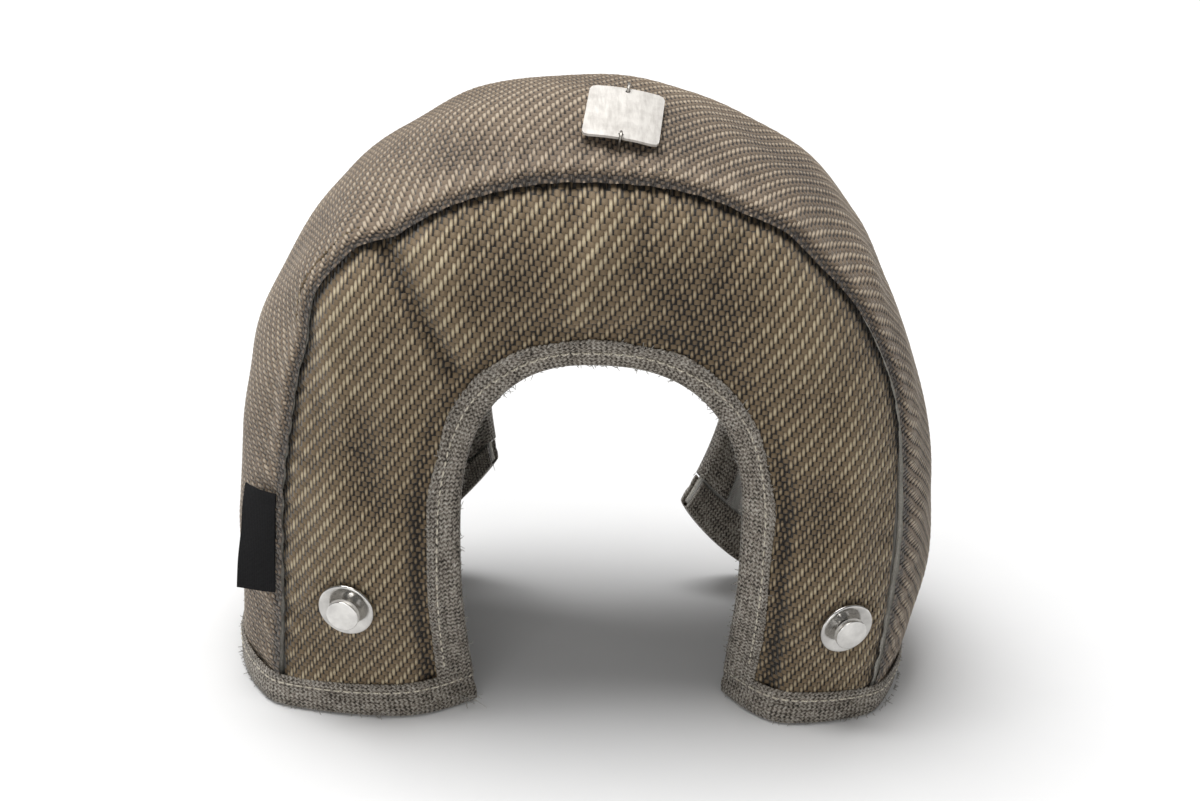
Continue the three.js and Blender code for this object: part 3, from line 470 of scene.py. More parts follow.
def colour(r, g, b):
    """A colour as seen, 0 to 255, in linear light."""
    c = np.array([r, g, b]) / 255
    return tuple(float(x) for x in np.where(c <= 0.04045, c / 12.92, ((c + 0.055) / 1.055) ** 2.4))


def tow_cloth(name, pale, middle, gap_shade, weft, sheen, rough):
    """Twill of mineral tows read off the piece's own plan: painted light makes the floats pale on their crowns,
    painted shade makes the gaps near black and a painted shadow darkens the weft under each float's lower end;
    filaments streak each tow lengthways. A per-point attribute adds painted light on ridges and painted shade in
    creases."""
    f = Finish(name)
    split = f.node("ShaderNodeSeparateXYZ", {0: f.plan()})
    u = f.sum("DIVIDE", split.outputs[0], WARP_PITCH)
    v = f.sum("DIVIDE", split.outputs[1], WEFT_PITCH)
    i, j = f.sum("FLOOR", u), f.sum("FLOOR", v)
    fu, fv = f.sum("SUBTRACT", u, i), f.sum("SUBTRACT", v, j)
    k = f.sum("FLOORED_MODULO", f.sum("SUBTRACT", i, j), 4.0)
    warp_up = f.sum("LESS_THAN", k, 1.5)

    def tow(side, along, ends, flatness):
        off = f.sum("MULTIPLY_ADD", side, 2.0, -1.0)
        square = f.sum("MULTIPLY", off, off)
        round_part = f.sum("SQRT", f.sum("MAXIMUM", f.sum("SUBTRACT", 1.0, square), 0.0))
        round_part = f.sum("MULTIPLY_ADD", round_part, 1 - flatness, flatness)
        bow = f.sum("SINE", f.sum("MULTIPLY", along, math.pi / 2))
        return f.sum("MULTIPLY", round_part, f.sum("MULTIPLY_ADD", bow, 1 - ends, ends))

    warp = tow(fu, f.sum("ADD", f.sum("SUBTRACT", 1.0, k), fv), 0.45, 0.0)
    weft_height = tow(fv, f.sum("ADD", f.sum("SUBTRACT", k, 2.0), fu), 0.42, 0.72)
    # Per-point painted light and shade: paler on ridges, darker in creases and hollows.
    painted_shading_fac = f.node("ShaderNodeAttribute", attribute_name="painted_shading").outputs["Fac"]
    # Painted shadow: the weft cell under the lower end of each warp float is darkened, less where the per-point
    # painted light is high; the bump also dips there.
    starts = f.sum("MULTIPLY", f.sum("GREATER_THAN", k, 1.5), f.sum("LESS_THAN", k, 2.5))
    past = f.sum("SMOOTH_MIN", f.sum("MULTIPLY", fu, 1.9), 1.0, 0.2)
    hole_and_shadow = f.sum("MULTIPLY", starts, f.sum("SUBTRACT", 1.0, past))
    hole_and_shadow = f.sum("MULTIPLY", hole_and_shadow, f.sum("MAXIMUM", f.sum("MULTIPLY_ADD", painted_shading_fac, -0.6, 1.05), 0.2))
    weft_up = f.sum("SUBTRACT", 1.0, warp_up)

    def either(on_warp, on_weft):
        return f.sum("ADD", f.sum("MULTIPLY", on_warp, warp_up), f.sum("MULTIPLY", on_weft, weft_up))

    def off_middle(value, amount):
        return f.sum("MULTIPLY", f.sum("SUBTRACT", value, 0.5), amount)

    height = either(warp, weft_height)
    lengthways = f.noise(f.stretch(f.plan(), (9.0, 0.5, 1.0)), 1.0, 4.0, 0.7)
    crossways = f.noise(f.stretch(f.plan(), (0.5, 9.0, 1.0)), 1.0, 4.0, 0.7)
    filaments = either(lengthways, crossways)
    cloudy = f.noise(f.stretch(f.plan(), (0.03, 0.03, 1.0)), 1.0, 3.0, 0.6)
    cell = f.node("ShaderNodeCombineXYZ", {0: i, 1: j}).outputs[0]
    tow_tone = f.node("ShaderNodeTexWhiteNoise", {"Vector": cell}).outputs[0]
    # Colour follows the tow height: painted shade in the gaps between tows, painted light on the crowns of the floats.
    level = f.sum("MULTIPLY", f.sum("SUBTRACT", height, hole_and_shadow), 0.86)
    for value, amount in ((filaments, 0.55), (cloudy, 0.5), (tow_tone, 0.22)):
        level = f.sum("ADD", level, off_middle(value, amount))
    # Painted light on ridges and painted shade in creases and hollows.
    level = f.sum("ADD", level, f.sum("MULTIPLY", painted_shading_fac, 0.34))
    warp_colour = f.ramp(level, [(0.22, gap_shade), (0.5, middle), (0.95, pale)])
    weft_colour = f.ramp(level, [(0.2, gap_shade), (0.52, weft), (1.0, middle)])
    f.set(Base_Color=f.tint(warp_up, weft_colour, warp_colour), Roughness=rough, Specular_IOR_Level=0.35)
    f.set(Sheen_Weight=sheen, Sheen_Roughness=0.4, Sheen_Tint=(1.0, 0.95, 0.88, 1.0))
    raised = f.sum("ADD", height, f.sum("MULTIPLY", filaments, 0.3))
    f.bump(f.sum("SUBTRACT", raised, f.sum("MULTIPLY", hole_and_shadow, 0.6)), 0.6)
    return f.material


def knitted_tape():
    """Knitted wire tape: rows of small V loops along the plan, grey specks from near black to near white that
    follow the bump, darker where it is low, and painted shade between the loops.
    """
    f = Finish("knitted wire tape")
    split = f.node("ShaderNodeSeparateXYZ", {0: f.plan()})
    along, across = split.outputs[0], split.outputs[1]
    fold = f.sum("MULTIPLY_ADD", f.sum("PINGPONG", across, 0.62), 1.1, along)
    loop = f.sum("SINE", f.sum("MULTIPLY", fold, 2 * math.pi / 1.5))
    rib = f.sum("SINE", f.sum("MULTIPLY", across, 2 * math.pi / 1.24))
    height = f.sum("ADD", f.sum("MULTIPLY", loop, 0.3), f.sum("MULTIPLY", rib, 0.12))
    speck = f.noise(f.stretch(f.plan(), (1.0, 1.3, 1.0), 0.5), 1.0, 5.0, 0.9)
    patch = f.noise(f.stretch(f.plan(), (0.16, 0.3, 1.0)), 1.0, 3.0, 0.6)
    # Colour follows the loops' height as painted shade between them and painted light on their crests; the specks
    # darken where the bump is low.
    level = f.sum("ADD", f.sum("MULTIPLY", height, 0.38), f.sum("MULTIPLY_ADD", speck, 2.1, -0.48))
    level = f.sum("ADD", level, f.sum("MULTIPLY", f.sum("SUBTRACT", patch, 0.5), 0.5))
    shades = [
        (0.36, colour(30, 26, 22)), (0.5, colour(128, 118, 106)), (0.7, colour(188, 180, 168)),
        (0.9, colour(226, 221, 212)),
    ]
    f.set(Base_Color=f.ramp(level, shades), Metallic=0.2, Roughness=0.5)
    f.bump(f.sum("ADD", height, f.sum("MULTIPLY", speck, 1.6)), 0.6)
    return f.material


def silica_lining():
    """Pale grey plain-woven lining with soot-darkened patches and fine creases, painted darker in their hollows as
    painted shade.
    """
    f = Finish("silica lining cloth")
    split = f.node("ShaderNodeSeparateXYZ", {0: f.plan()})
    weave = f.sum(
        "MULTIPLY",
        f.sum("SINE", f.sum("MULTIPLY", split.outputs[0], 2 * math.pi / 0.9)),
        f.sum("SINE", f.sum("MULTIPLY", split.outputs[1], 2 * math.pi / 0.9)),
    )
    crease = f.noise(f.stretch(f.plan(), (0.05, 0.16, 1.0), 0.4), 1.0, 5.0, 0.6)
    soot = f.noise(f.stretch(f.plan(), (0.03, 0.03, 1.0)), 1.0, 4.0, 0.6)
    # Painted shade: colour follows the creases' height, darker in their hollows.
    level = f.sum("MULTIPLY", f.sum("ADD", crease, soot), 0.5)
    level = f.sum("MULTIPLY_ADD", weave, 0.06, level)
    shades = [(0.3, colour(96, 93, 88)), (0.5, colour(158, 155, 149)), (0.7, colour(190, 187, 181))]
    f.set(Base_Color=f.ramp(level, shades), Roughness=0.85, Sheen_Weight=0.2)
    f.bump(f.sum("ADD", f.sum("MULTIPLY", weave, 0.12), crease), 1.2)
    return f.material


def fibre_mat():
    """White needled fibre: matted strands of several thicknesses."""
    f = Finish("needled fibre")
    strands = f.noise(f.stretch(f.place(), (900.0, 2600.0, 1500.0)), 1.0, 5.0, 0.7)
    shades = [(0.3, colour(196, 190, 176)), (0.6, colour(236, 232, 222))]
    f.set(Base_Color=f.ramp(strands, shades), Roughness=0.95)
    f.bump(strands, 0.8)
    return f.material


def steel(name, tone, rough):
    """Stainless steel with faint scratches and smears that change its gloss."""
    f = Finish(name)
    smear = f.noise(f.place(), 220.0, 4.0, 0.6)
    scratch = f.noise(f.stretch(f.place(), (400.0, 4000.0, 900.0), 0.7), 1.0, 3.0, 0.6)
    shades = [(0.3, colour(*(int(x * 0.86) for x in tone))), (0.7, colour(*tone))]
    f.set(Base_Color=f.ramp(smear, shades), Metallic=1.0)
    f.set(Roughness=f.sum("MULTIPLY_ADD", smear, 0.16, rough - 0.06))
    f.bump(scratch, 0.03, 0.5)
    return f.material


def marker_plate():
    """Pale matt plate with rubbed streaks across it and light stains."""
    f = Finish("pale plate metal")
    rub = f.noise(f.stretch(f.place(), (900.0, 120.0, 300.0), 0.1), 1.0, 4.0, 0.65)
    stain = f.noise(f.place(), 160.0, 4.0, 0.6)
    level = f.sum("ADD", f.sum("MULTIPLY", rub, 0.5), f.sum("MULTIPLY", stain, 0.5))
    shades = [(0.32, colour(176, 171, 165)), (0.58, colour(212, 208, 202))]
    f.set(Base_Color=f.ramp(level, shades), Metallic=0.3, Roughness=0.45)
    f.bump(level, 0.12)
    return f.material


def woven_label():
    """Black woven ribbon: fine ribs and picks, and a little lint."""
    f = Finish("black ribbon")
    split = f.node("ShaderNodeSeparateXYZ", {0: f.plan()})
    rib = f.sum("SINE", f.sum("MULTIPLY", split.outputs[1], 2 * math.pi / 0.42))
    pick = f.sum("SINE", f.sum("MULTIPLY", split.outputs[0], 2 * math.pi / 0.6))
    lint = f.noise(f.stretch(f.plan(), (1.2, 2.0, 1.0)), 1.0, 5.0, 0.7)
    level = f.sum("ADD", f.sum("MULTIPLY", rib, 0.12), f.sum("MULTIPLY", lint, 0.9))
    shades = [(0.35, colour(8, 8, 10)), (0.75, colour(30, 29, 31))]
    f.set(Base_Color=f.ramp(level, shades), Roughness=0.8, Specular_IOR_Level=0.25)
    f.bump(f.sum("ADD", rib, f.sum("MULTIPLY", pick, 0.5)), 0.12)
    return f.material


def thread(name, pale, dark):
    """Twisted sewing thread: slanting plies."""
    f = Finish(name)
    slanted = f.stretch(f.place(), (1.0, 1.0, 1.0), 0.8)
    ply = f.node("ShaderNodeTexWave", {"Vector": slanted, "Scale": 900.0, "Distortion": 2.0})
    grime = f.noise(f.place(), 300.0, 3.0, 0.6)
    level = f.sum("ADD", f.sum("MULTIPLY", ply.outputs["Fac"], 0.4), f.sum("MULTIPLY", grime, 0.6))
    f.set(Base_Color=f.ramp(level, [(0.25, dark), (0.6, pale)]), Roughness=0.7, Sheen_Weight=0.3)
    f.bump(ply.outputs["Fac"], 0.1)
    return f.material


FACE_CLOTH = tow_cloth(
    "tan mineral twill", pale=colour(194, 180, 150), middle=colour(126, 108, 83), gap_shade=colour(18, 13, 8),
    weft=colour(106, 89, 66), sheen=0.2, rough=0.6,
)
CROWN_CLOTH = tow_cloth(
    "crown mineral twill", pale=colour(186, 170, 148), middle=colour(124, 107, 88), gap_shade=colour(34, 26, 20),
    weft=colour(108, 92, 75), sheen=0.3, rough=0.55,
)
TAPE_METAL = knitted_tape()
LINING_CLOTH = silica_lining()
FIBRE = fibre_mat()
POLISHED = steel("polished stainless", (226, 224, 220), 0.16)
WASHER_STEEL = steel("washer stainless", (206, 204, 200), 0.14)
WIRE = steel("staple wire", (150, 146, 140), 0.3)
PLATE = marker_plate()
RIBBON = woven_label()
CREAM_THREAD = thread("cream sewing thread", colour(226, 218, 200), colour(150, 140, 122))
GREY_WIRE = thread("frayed grey wire", colour(170, 165, 156), colour(88, 82, 75))


# Outer cloth

# Folds of the front face: x and z where each starts and ends, its breadth and its height
FRONT_FOLDS = [
    (-64, 154, -41, 116, 3.2, -3.6), (-57, 158, -35, 122, 4.0, 1.3), (1.5, 166, -8, 123, 3.4, 1.7),
    (-23, 137, -21, 131, 10, -1.9), (24, 141, 34, 136, 12, -2.3), (-74, 136, -71, 128, 8, 2.0),
    (-48, 153, -44, 147, 7, 1.8), (58, 140, 66, 124, 9, 1.7), (-68, 98, -65, 76, 7, -2.2),
    (-80, 72, -78, 62, 7, 1.2), (-80, 126, -72, 97, 4.5, 1.6), (77, 112, 82, 24, 6, 1.3),
    (69, 80, 71, 66, 7, -1.7), (-36, 150, -33, 132, 3, -1.2), (14, 162, 12, 146, 3, -1.3),
    (40, 155, 34, 143, 3, -1.2),
]


def folds(x, z):
    """The folds' sum: each a bell across its line, its breadth the bell's width."""
    total = np.zeros(np.shape(x))
    for x0, z0, x1, z1, breadth, height in FRONT_FOLDS:
        dx, dz = x1 - x0, z1 - z0
        k = np.clip(((x - x0) * dx + (z - z0) * dz) / (dx * dx + dz * dz), 0, 1)
        total += height * np.exp(-((x - x0 - k * dx) ** 2 + (z - z0 - k * dz) ** 2) / breadth ** 2)
    return total


def pucker(t, distance):
    """Small gathers square to a seam, dying out within 14 mm of it."""
    along = foot_distance(t) + 200 * (t > 0.5)
    wave = np.sin(along * 2 * np.pi / 9.5 + 2.2 * np.sin(along / 17.0)) * (0.6 + 0.4 * np.sin(along / 31.0))
    return 0.8 * wave * np.exp(-((distance - 4.5) / 7.0) ** 2)


def face_form(face, t, w, x, z):
    """How far the cloth stands off the plan, shares of the seam's valley and of the dip beside the tape, and the
    distance from the opening."""
    width = face_width(face, t)
    free = smooth((1 - w) * 5) * smooth((w - 0.2) * 6)
    to_seam, to_edge = (1 - w) * width, w * width
    washer = np.min([np.hypot(x - sx, z - sz) for sx, sz in face["studs"]], axis=0)
    form = folds(x, z) if face is FRONT else 0.9 * unevenness(x, z, 34)
    form = form * smooth((1 - w) * 9) * smooth((w - 0.18) * 9)
    form = (form + 0.5 * unevenness(x, z, 46) * free + pucker(t, to_seam)) * smooth((washer - 9) / 6)
    valley = np.exp(-((to_seam - 0.8) / 2.6) ** 2)
    beside_tape = np.exp(-((to_edge - 12.2) / 2.4) ** 2) * (1 - 0.6 * smooth((z - 60) / 50))
    return form, valley, beside_tape, to_edge


def face_cloth(name, face, replaced):
    """A regular plan grid, two samples a tow each way, laid on the face and cut where the tape and the crown
    hide it."""
    hand = -face["outward"]
    u = np.arange(-164, 165) * WARP_PITCH / 2
    v = np.arange(2, 250) * WEFT_PITCH / 2
    x = hand * u * (1 - 8.9e-6 * u ** 2)
    gx, gz = np.meshgrid(x, v, indexing="ij")
    gu, gv = np.meshgrid(u, v, indexing="ij")
    t, w = locate(face, gx, gz)
    relief = TOW_RELIEF * (twill(gu + 1e-6, gv + 1e-6) - 0.5) * smooth((1.03 - w) * 30)
    form, valley, beside_tape, to_edge = face_form(face, t, w, gx, gz)
    lift = relief + form - VALLEY_DEPTH * valley - TAPE_DIP * beside_tape
    # Painted light and shade: the folds' ridges paler and their hollows darker; the seam's valley, the dip beside the
    # tape and the cloth near the opening darker.
    painted_shading = np.clip(form / 4.5, -0.7, 0.6) - 1.5 * valley - 0.9 * beside_tape - 0.25 * smooth(1 - to_edge / 26)
    y = face["plane"] + face["outward"] * (swell(face, w, gx, gz) + lift)
    faces = grid_faces(len(u), len(v))
    under_tape = 0.08 if face["sag"] == 0 else 0.1
    keep = (w > under_tape) & (w < 1.06) & (t > 0.004) & (t < 0.996)
    faces = faces[keep.reshape(-1)[faces].all(1)]
    used, packed = np.unique(faces, return_inverse=True)
    points = np.stack([gx, y, gz], -1).reshape(-1, 3)[used]
    uv = np.stack([gu, gv], -1).reshape(-1, 2)[used]
    way = np.array([0, face["outward"], 0])
    quads, painted_shading = packed.reshape(-1, 4), painted_shading.reshape(-1)[used]
    return put(name, points, quads, uv, FACE_CLOTH, replaced, way, painted_shading)


def crown_cloth():
    """The band's grid in distance along the crest and distance over its side, two samples a tow each way."""
    step = CROWN_WARP / 2
    u = np.arange(2, int(CREST_RUN[-1] / step) - 2) * step
    t = np.interp(u, CREST_RUN, CREST_T)
    above_tape = (t > 0.018) & (t < 0.982)
    u, t = u[above_tape], t[above_tape]
    rows = int(SIDE_RUN[-1] / (CROWN_WEFT / 2))
    v_run = np.arange(rows + 1) * CROWN_WEFT / 2
    v = np.interp(v_run, SIDE_RUN, SIDE_V)
    gt, gv = np.meshgrid(t, v, indexing="ij")
    plan_u, plan_v = u * WARP_PITCH / CROWN_WARP, v_run * WEFT_PITCH / CROWN_WEFT
    gu, gr = np.meshgrid(plan_u, plan_v, indexing="ij")
    base = crown_surface(gt, gv)
    edge = np.minimum(gv, 1 - gv) * DEPTH
    lift = TOW_RELIEF * (twill(gu + 1e-6, gr + 1e-6) - 0.5) * smooth(edge / 3 + 0.5)
    form = 0.6 * pucker(gt + 0.01, edge) + 0.7 * unevenness(gu, gr, 52) * smooth(edge / 12)
    points = base - inward(None, gt, gv) * (lift + form)[..., None]
    roll = 2.3 * np.exp(-((edge - 3.6) / 3.0) ** 2) * smooth((np.minimum(gt, 1 - gt) - 0.15) / 0.05)
    points[..., 1] += np.where(gv < 0.5, -roll, roll)
    # Painted light and shade: swells paler and hollows darker, the cloth at the seam darker as painted shade, the
    # rolled edge beside it paler as a painted highlight.
    seam_shade, roll_highlight = np.exp(-((edge + 0.5) / 2.0) ** 2), np.exp(-((edge - 5) / 3.0) ** 2)
    painted_shading = np.clip(form / 2, -1, 1) - 1.3 * seam_shade + 0.35 * roll_highlight
    uv = np.stack([gu, gr], -1)
    ox, oz = out_of_seam(gt)
    faces = grid_faces(len(t), len(v))
    out = np.stack([ox, np.zeros_like(ox), oz], -1).reshape(-1, 3)[faces[:, 0]]
    replaced = ["crown_outer_cloth"]
    return put("crown_twill_cloth", points, faces, uv, CROWN_CLOTH, replaced, out, painted_shading)


# Mats and linings

def layers(name, wall, mat_node, lining_node):
    """The mat and the lining of one wall, each a closed slab between two depths. The mat gives way under the
    cloth's hollows, and the lining is creased on its open side."""
    start = 0.0036
    t = start + (1 - 2 * start) * np.linspace(0, 1, 161)
    w = np.linspace(0, 1, 37)
    gt, gw = np.meshgrid(t, w, indexing="ij")
    thick = mat_thickness(wall, gt, gw)
    face_depth = CLOTH + LAYER_GAP + np.zeros(gt.shape)
    if wall is not None:
        open_place = face_surface(wall, gt, gw)
        form, valley, beside_tape, _ = face_form(wall, gt, gw, open_place[..., 0], open_place[..., 2])
        face_depth = face_depth + np.clip(-form, 0, 4) + VALLEY_DEPTH * valley + TAPE_DIP * beside_tape
    back_depth = np.maximum(CLOTH + LAYER_GAP + thick, face_depth + 0.7)
    free = smooth(thick - MAT_PINCHED)
    points, faces = between(inside(wall, gt, gw, face_depth), inside(wall, gt, gw, back_depth))
    mat = put(name + "_fibre_mat", points, faces, None, FIBRE, [mat_node])
    run, side = gt * 430, gw * 80
    crease = free * (0.9 * unevenness(run, side, 38) + 0.5 * unevenness(run + 50, side * 1.7, 15))
    near = inside(wall, gt, gw, back_depth + LAYER_GAP)
    far = inside(wall, gt, gw, back_depth + LAYER_GAP + LINING + np.clip(crease, -0.3, 2.0) * 0.8)
    points, faces = between(near, far)
    uv = np.concatenate([np.stack([run, side], -1).reshape(-1, 2)] * 2)
    put(name + "_silica_lining", points, faces, uv, LINING_CLOTH, [lining_node])


# Knitted tape

def tape_section(rounding):
    """A U of the tape as pairs of distance from the fold and depth: over the cloth, round the edge, over the
    lining, then back the same way one tape's thickness inside. The outer leg dips where it is sewn."""
    arc = np.linspace(0, np.pi, 11)[1:-1]
    middle = (LEG_DEPTHS["inner"] + LEG_DEPTHS["outer"]) / 2
    half = (LEG_DEPTHS["inner"] - LEG_DEPTHS["outer"]) / 2
    outer_b = np.linspace(TAPE_WIDTH, rounding + 0.4, 12)
    dip = 0.38 * np.exp(-((outer_b - 6.0) / 1.1) ** 2)
    edge = 0.55 * smooth((outer_b - TAPE_WIDTH + 1.2) / 1.2)
    swollen = 0.3 * np.sin(np.pi * np.clip((outer_b - 1) / 5, 0, 1))
    outer = np.stack([outer_b, LEG_DEPTHS["outer"] + dip + edge - swollen], -1)
    turn = np.stack([rounding - rounding * np.sin(arc), middle - half * np.cos(arc)], -1)
    inner_b = np.linspace(rounding + 0.4, TAPE_WIDTH, 7)
    inner = np.stack([inner_b, np.full(7, LEG_DEPTHS["inner"])], -1)
    there = np.concatenate([outer, turn, inner])
    tight = rounding - TAPE * min(1.0, rounding / 3)
    back_outer = np.stack([outer_b, LEG_DEPTHS["outer_back"] + dip], -1)
    back_turn = np.stack([rounding - tight * np.sin(arc), middle - (half - TAPE) * np.cos(arc)], -1)
    back_inner = np.stack([inner_b, np.full(7, LEG_DEPTHS["inner_back"])], -1)
    back = np.concatenate([back_outer, back_turn, back_inner])
    girth = run_of(np.pad(there, ((0, 0), (0, 1))))
    return np.concatenate([there, back[::-1]]), np.concatenate([girth, girth[::-1]])


def opening_tape(name, face, replaced):
    """The U carried round the arch of a face, wandering a little as hand-sewn tape does."""
    section, girth = tape_section(1.9)
    start = LEG_SHARE * (TAPE_WIDTH - 0.8) / face["line"]["spring"] if face["sag"] == 0 else 0.026
    t = np.linspace(start, 1 - start, 420)
    gt, gb = np.meshgrid(t, section[:, 0], indexing="ij")
    depth = np.broadcast_to(section[:, 1], gt.shape)
    wander = 0.8 * unevenness(gt * 300, gt * 0, 34) * smooth((gb - 4) / 5) * (depth < 2)
    w = (gb + wander - HEM_LIFT) * TAPE_SHARE / (TAPE_WIDTH - HEM_LIFT)
    ripple = 0.22 * np.sin(gt * 420) * smooth((gb - 7) / 3) * (depth < 0)
    rings = face_surface(face, gt, w) + inward(face, gt, w) * (depth + ripple)[..., None]
    run = run_of(face_surface(face, t, 0.1))
    gr, gg = np.meshgrid(run, girth, indexing="ij")
    points, faces = carried(rings)
    return put(name, points, faces, np.stack([gr, gg], -1), TAPE_METAL, replaced)


def along_line(line, steps):
    """Points at given distances along a line, with the unit direction there."""
    run = run_of(line)
    here = np.stack([np.interp(steps, run, line[:, k]) for k in range(3)], -1)
    ahead = np.stack([np.interp(steps + 0.2, run, line[:, k]) for k in range(3)], -1)
    behind = np.stack([np.interp(steps - 0.2, run, line[:, k]) for k in range(3)], -1)
    return here, unit(ahead - behind)


def hem_ring(foot, section_b, depth, count=170):
    """Places round a foot from the front opening past both corners to the rear opening, the corners eased by
    averaging each place with its neighbours."""
    rate = LEG_SHARE / SEAM["spring"]
    lines = []
    for b, d in zip(section_b, depth):
        t = rate * b if foot == 0 else 1 - rate * b
        reach = np.linspace(0, 0.985, 60)
        band = np.linspace(0.015, 0.985, 90)
        line = np.concatenate([
            inside(FRONT, t, reach, d), inside(None, t, band, d), inside(REAR, t, reach[::-1], d),
        ])
        run = run_of(line)
        even, _ = along_line(line, np.linspace(0, run[-1], count))
        for _ in range(5):
            even[1:-1] = (even[:-2] + 2 * even[1:-1] + even[2:]) / 4
        lines.append(even)
    return np.stack(lines, 1)


def hem_tape(name, foot, replaced):
    """The U under one foot, its fold on the floor."""
    section, girth = tape_section(1.0)
    rings = hem_ring(foot, section[:, 0], section[:, 1])
    rings[..., 2] = np.maximum(rings[..., 2], 0)
    run = run_of(rings[:, 5])
    gr, gg = np.meshgrid(run, girth, indexing="ij")
    points, faces = carried(rings)
    return put(name, points, faces, np.stack([gr, gg], -1), TAPE_METAL, replaced)


# Sewing

def sewn(name, lines, out_ways, pitch, radius, rise, material):
    """Lock stitches: short six-sided threads that rise by the root of a half sine and go back in, one after
    another along each line."""
    rings, sides = 6, 6
    share = np.linspace(0, 1, rings)
    turn = np.arange(sides) * 2 * np.pi / sides
    all_points = []
    for line, out in zip(lines, out_ways):
        run = run_of(line)
        starts = np.arange(0.3, run[-1] - pitch, pitch)
        steps = (starts[:, None] + share * pitch * 0.82).ravel()
        here, along = along_line(line, steps)
        normal = unit(np.stack([np.interp(steps, run, out[:, k]) for k in range(3)], -1))
        side = unit(np.cross(along, normal))
        height = np.tile(rise * np.sin(np.pi * share) ** 0.5 - radius * 0.9, len(starts))
        here = here + normal * height[:, None]
        circle = np.cos(turn)[:, None] * side[:, None, :] + np.sin(turn)[:, None] * normal[:, None, :]
        all_points.append((here[:, None, :] + circle * radius).reshape(-1, rings, sides, 3))
    points = np.concatenate(all_points)
    one = grid_faces(rings, sides, True)
    faces = (one[None] + (np.arange(len(points)) * rings * sides)[:, None, None]).reshape(-1, 4)
    return put(name, points, faces, None, material, [])


def tape_line(face, t, b):
    """A line on a face's tape at a distance b from its fold, and the way out of it."""
    w = (b - HEM_LIFT) * TAPE_SHARE / (TAPE_WIDTH - HEM_LIFT)
    n = inward(face, t, w)
    return face_surface(face, t, w) - n * 1.0, -n


def wires(name, roots, ways, lengths, seed, material):
    """Loose wire ends: five-sided threads from a root along a heading, with a sideways curl that grows with the
    square of the way."""
    random = np.random.default_rng(seed)
    count = len(roots)
    share = np.linspace(0, 1, 7)
    curl = random.normal(0, 1, (count, 3)) * lengths[:, None] * 0.28
    line = roots[:, None] + ways[:, None] * (share * lengths[:, None])[..., None]
    line = line + curl[:, None] * (share ** 2)[None, :, None]
    line[..., 2] = np.maximum(line[..., 2], 0.15)
    turn = np.arange(5) * 2 * np.pi / 5
    along = unit(np.gradient(line, axis=1))
    side = unit(np.cross(along, np.array([0.3, 0.2, 0.93])))
    other = np.cross(along, side)
    circle = np.cos(turn)[:, None] * side[:, :, None] + np.sin(turn)[:, None] * other[:, :, None]
    radius = 0.13 * (1 - 0.5 * share)[None, :, None, None]
    points = line[:, :, None] + circle * radius
    one = grid_faces(7, 5, True)
    faces = (one[None] + (np.arange(count) * 35)[:, None, None]).reshape(-1, 4)
    return put(name, points, faces, None, material, [])


# Fasteners

def seat_frame(face, index):
    """Place and outward way of the seat under a stud."""
    x, z, here, dx, dz = face["seats"][index]
    out = unit(np.array([-dx, face["outward"], -dz]))
    return np.array([x, face["plane"] + face["outward"] * here, z]), out


def turned(name, face, index, profile, material, replaced):
    """A profile of radius and height turned round the seat's axis in 72 steps, its ends brought to the axis."""
    middle, out = seat_frame(face, index)
    side = unit(np.cross(out, np.array([0.0, 0.0, 1.0])))
    other = np.cross(out, side)
    r, h = np.array(profile, float).T
    turn = np.arange(72) * 2 * np.pi / 72
    circle = np.cos(turn)[:, None] * side + np.sin(turn)[:, None] * other
    points = middle + circle[None] * r[:, None, None] + out * h[:, None, None]
    return put(name, points, grid_faces(len(r), 72, True), None, material, replaced)


def bend(corners, radius, steps=5):
    """A profile whose inner corners are eased: each is replaced by a quadratic curve between points a radius away."""
    c = np.array(corners, float)

    def towards(other):
        way = other - c[1:-1]
        return c[1:-1] + unit(way) * np.minimum(radius, np.linalg.norm(way, axis=1)[:, None] * 0.45)

    back, ahead = towards(c[:-2]), towards(c[2:])
    s = np.linspace(0, 1, steps)[None, :, None]
    eased = (1 - s) ** 2 * back[:, None] + 2 * s * (1 - s) * c[1:-1][:, None] + s ** 2 * ahead[:, None]
    return np.concatenate([c[:1], eased.reshape(-1, 2), c[-1:]])


CUP_PROFILE = bend(
    [
        (1.95, CUP_BASE), (4.2, CUP_BASE), (8.25, CUP_BASE + 0.6), (8.75, CUP_BASE + 1.1),
        (8.5, CUP_BASE + 1.8), (7.75, CUP_BASE + 1.8), (4.2, CUP_BASE + 0.7), (1.95, CUP_BASE + 0.7), (1.95, CUP_BASE),
    ],
    0.9,
)
STUD_PROFILE = bend(
    [(0.001, -4.6), (1.6, -4.6), (1.6, 1.7), (2.6, 1.7), (2.6, 3.7), (5.0, 3.7), (5.0, 5.7), (0.001, 5.75)], 0.3
)


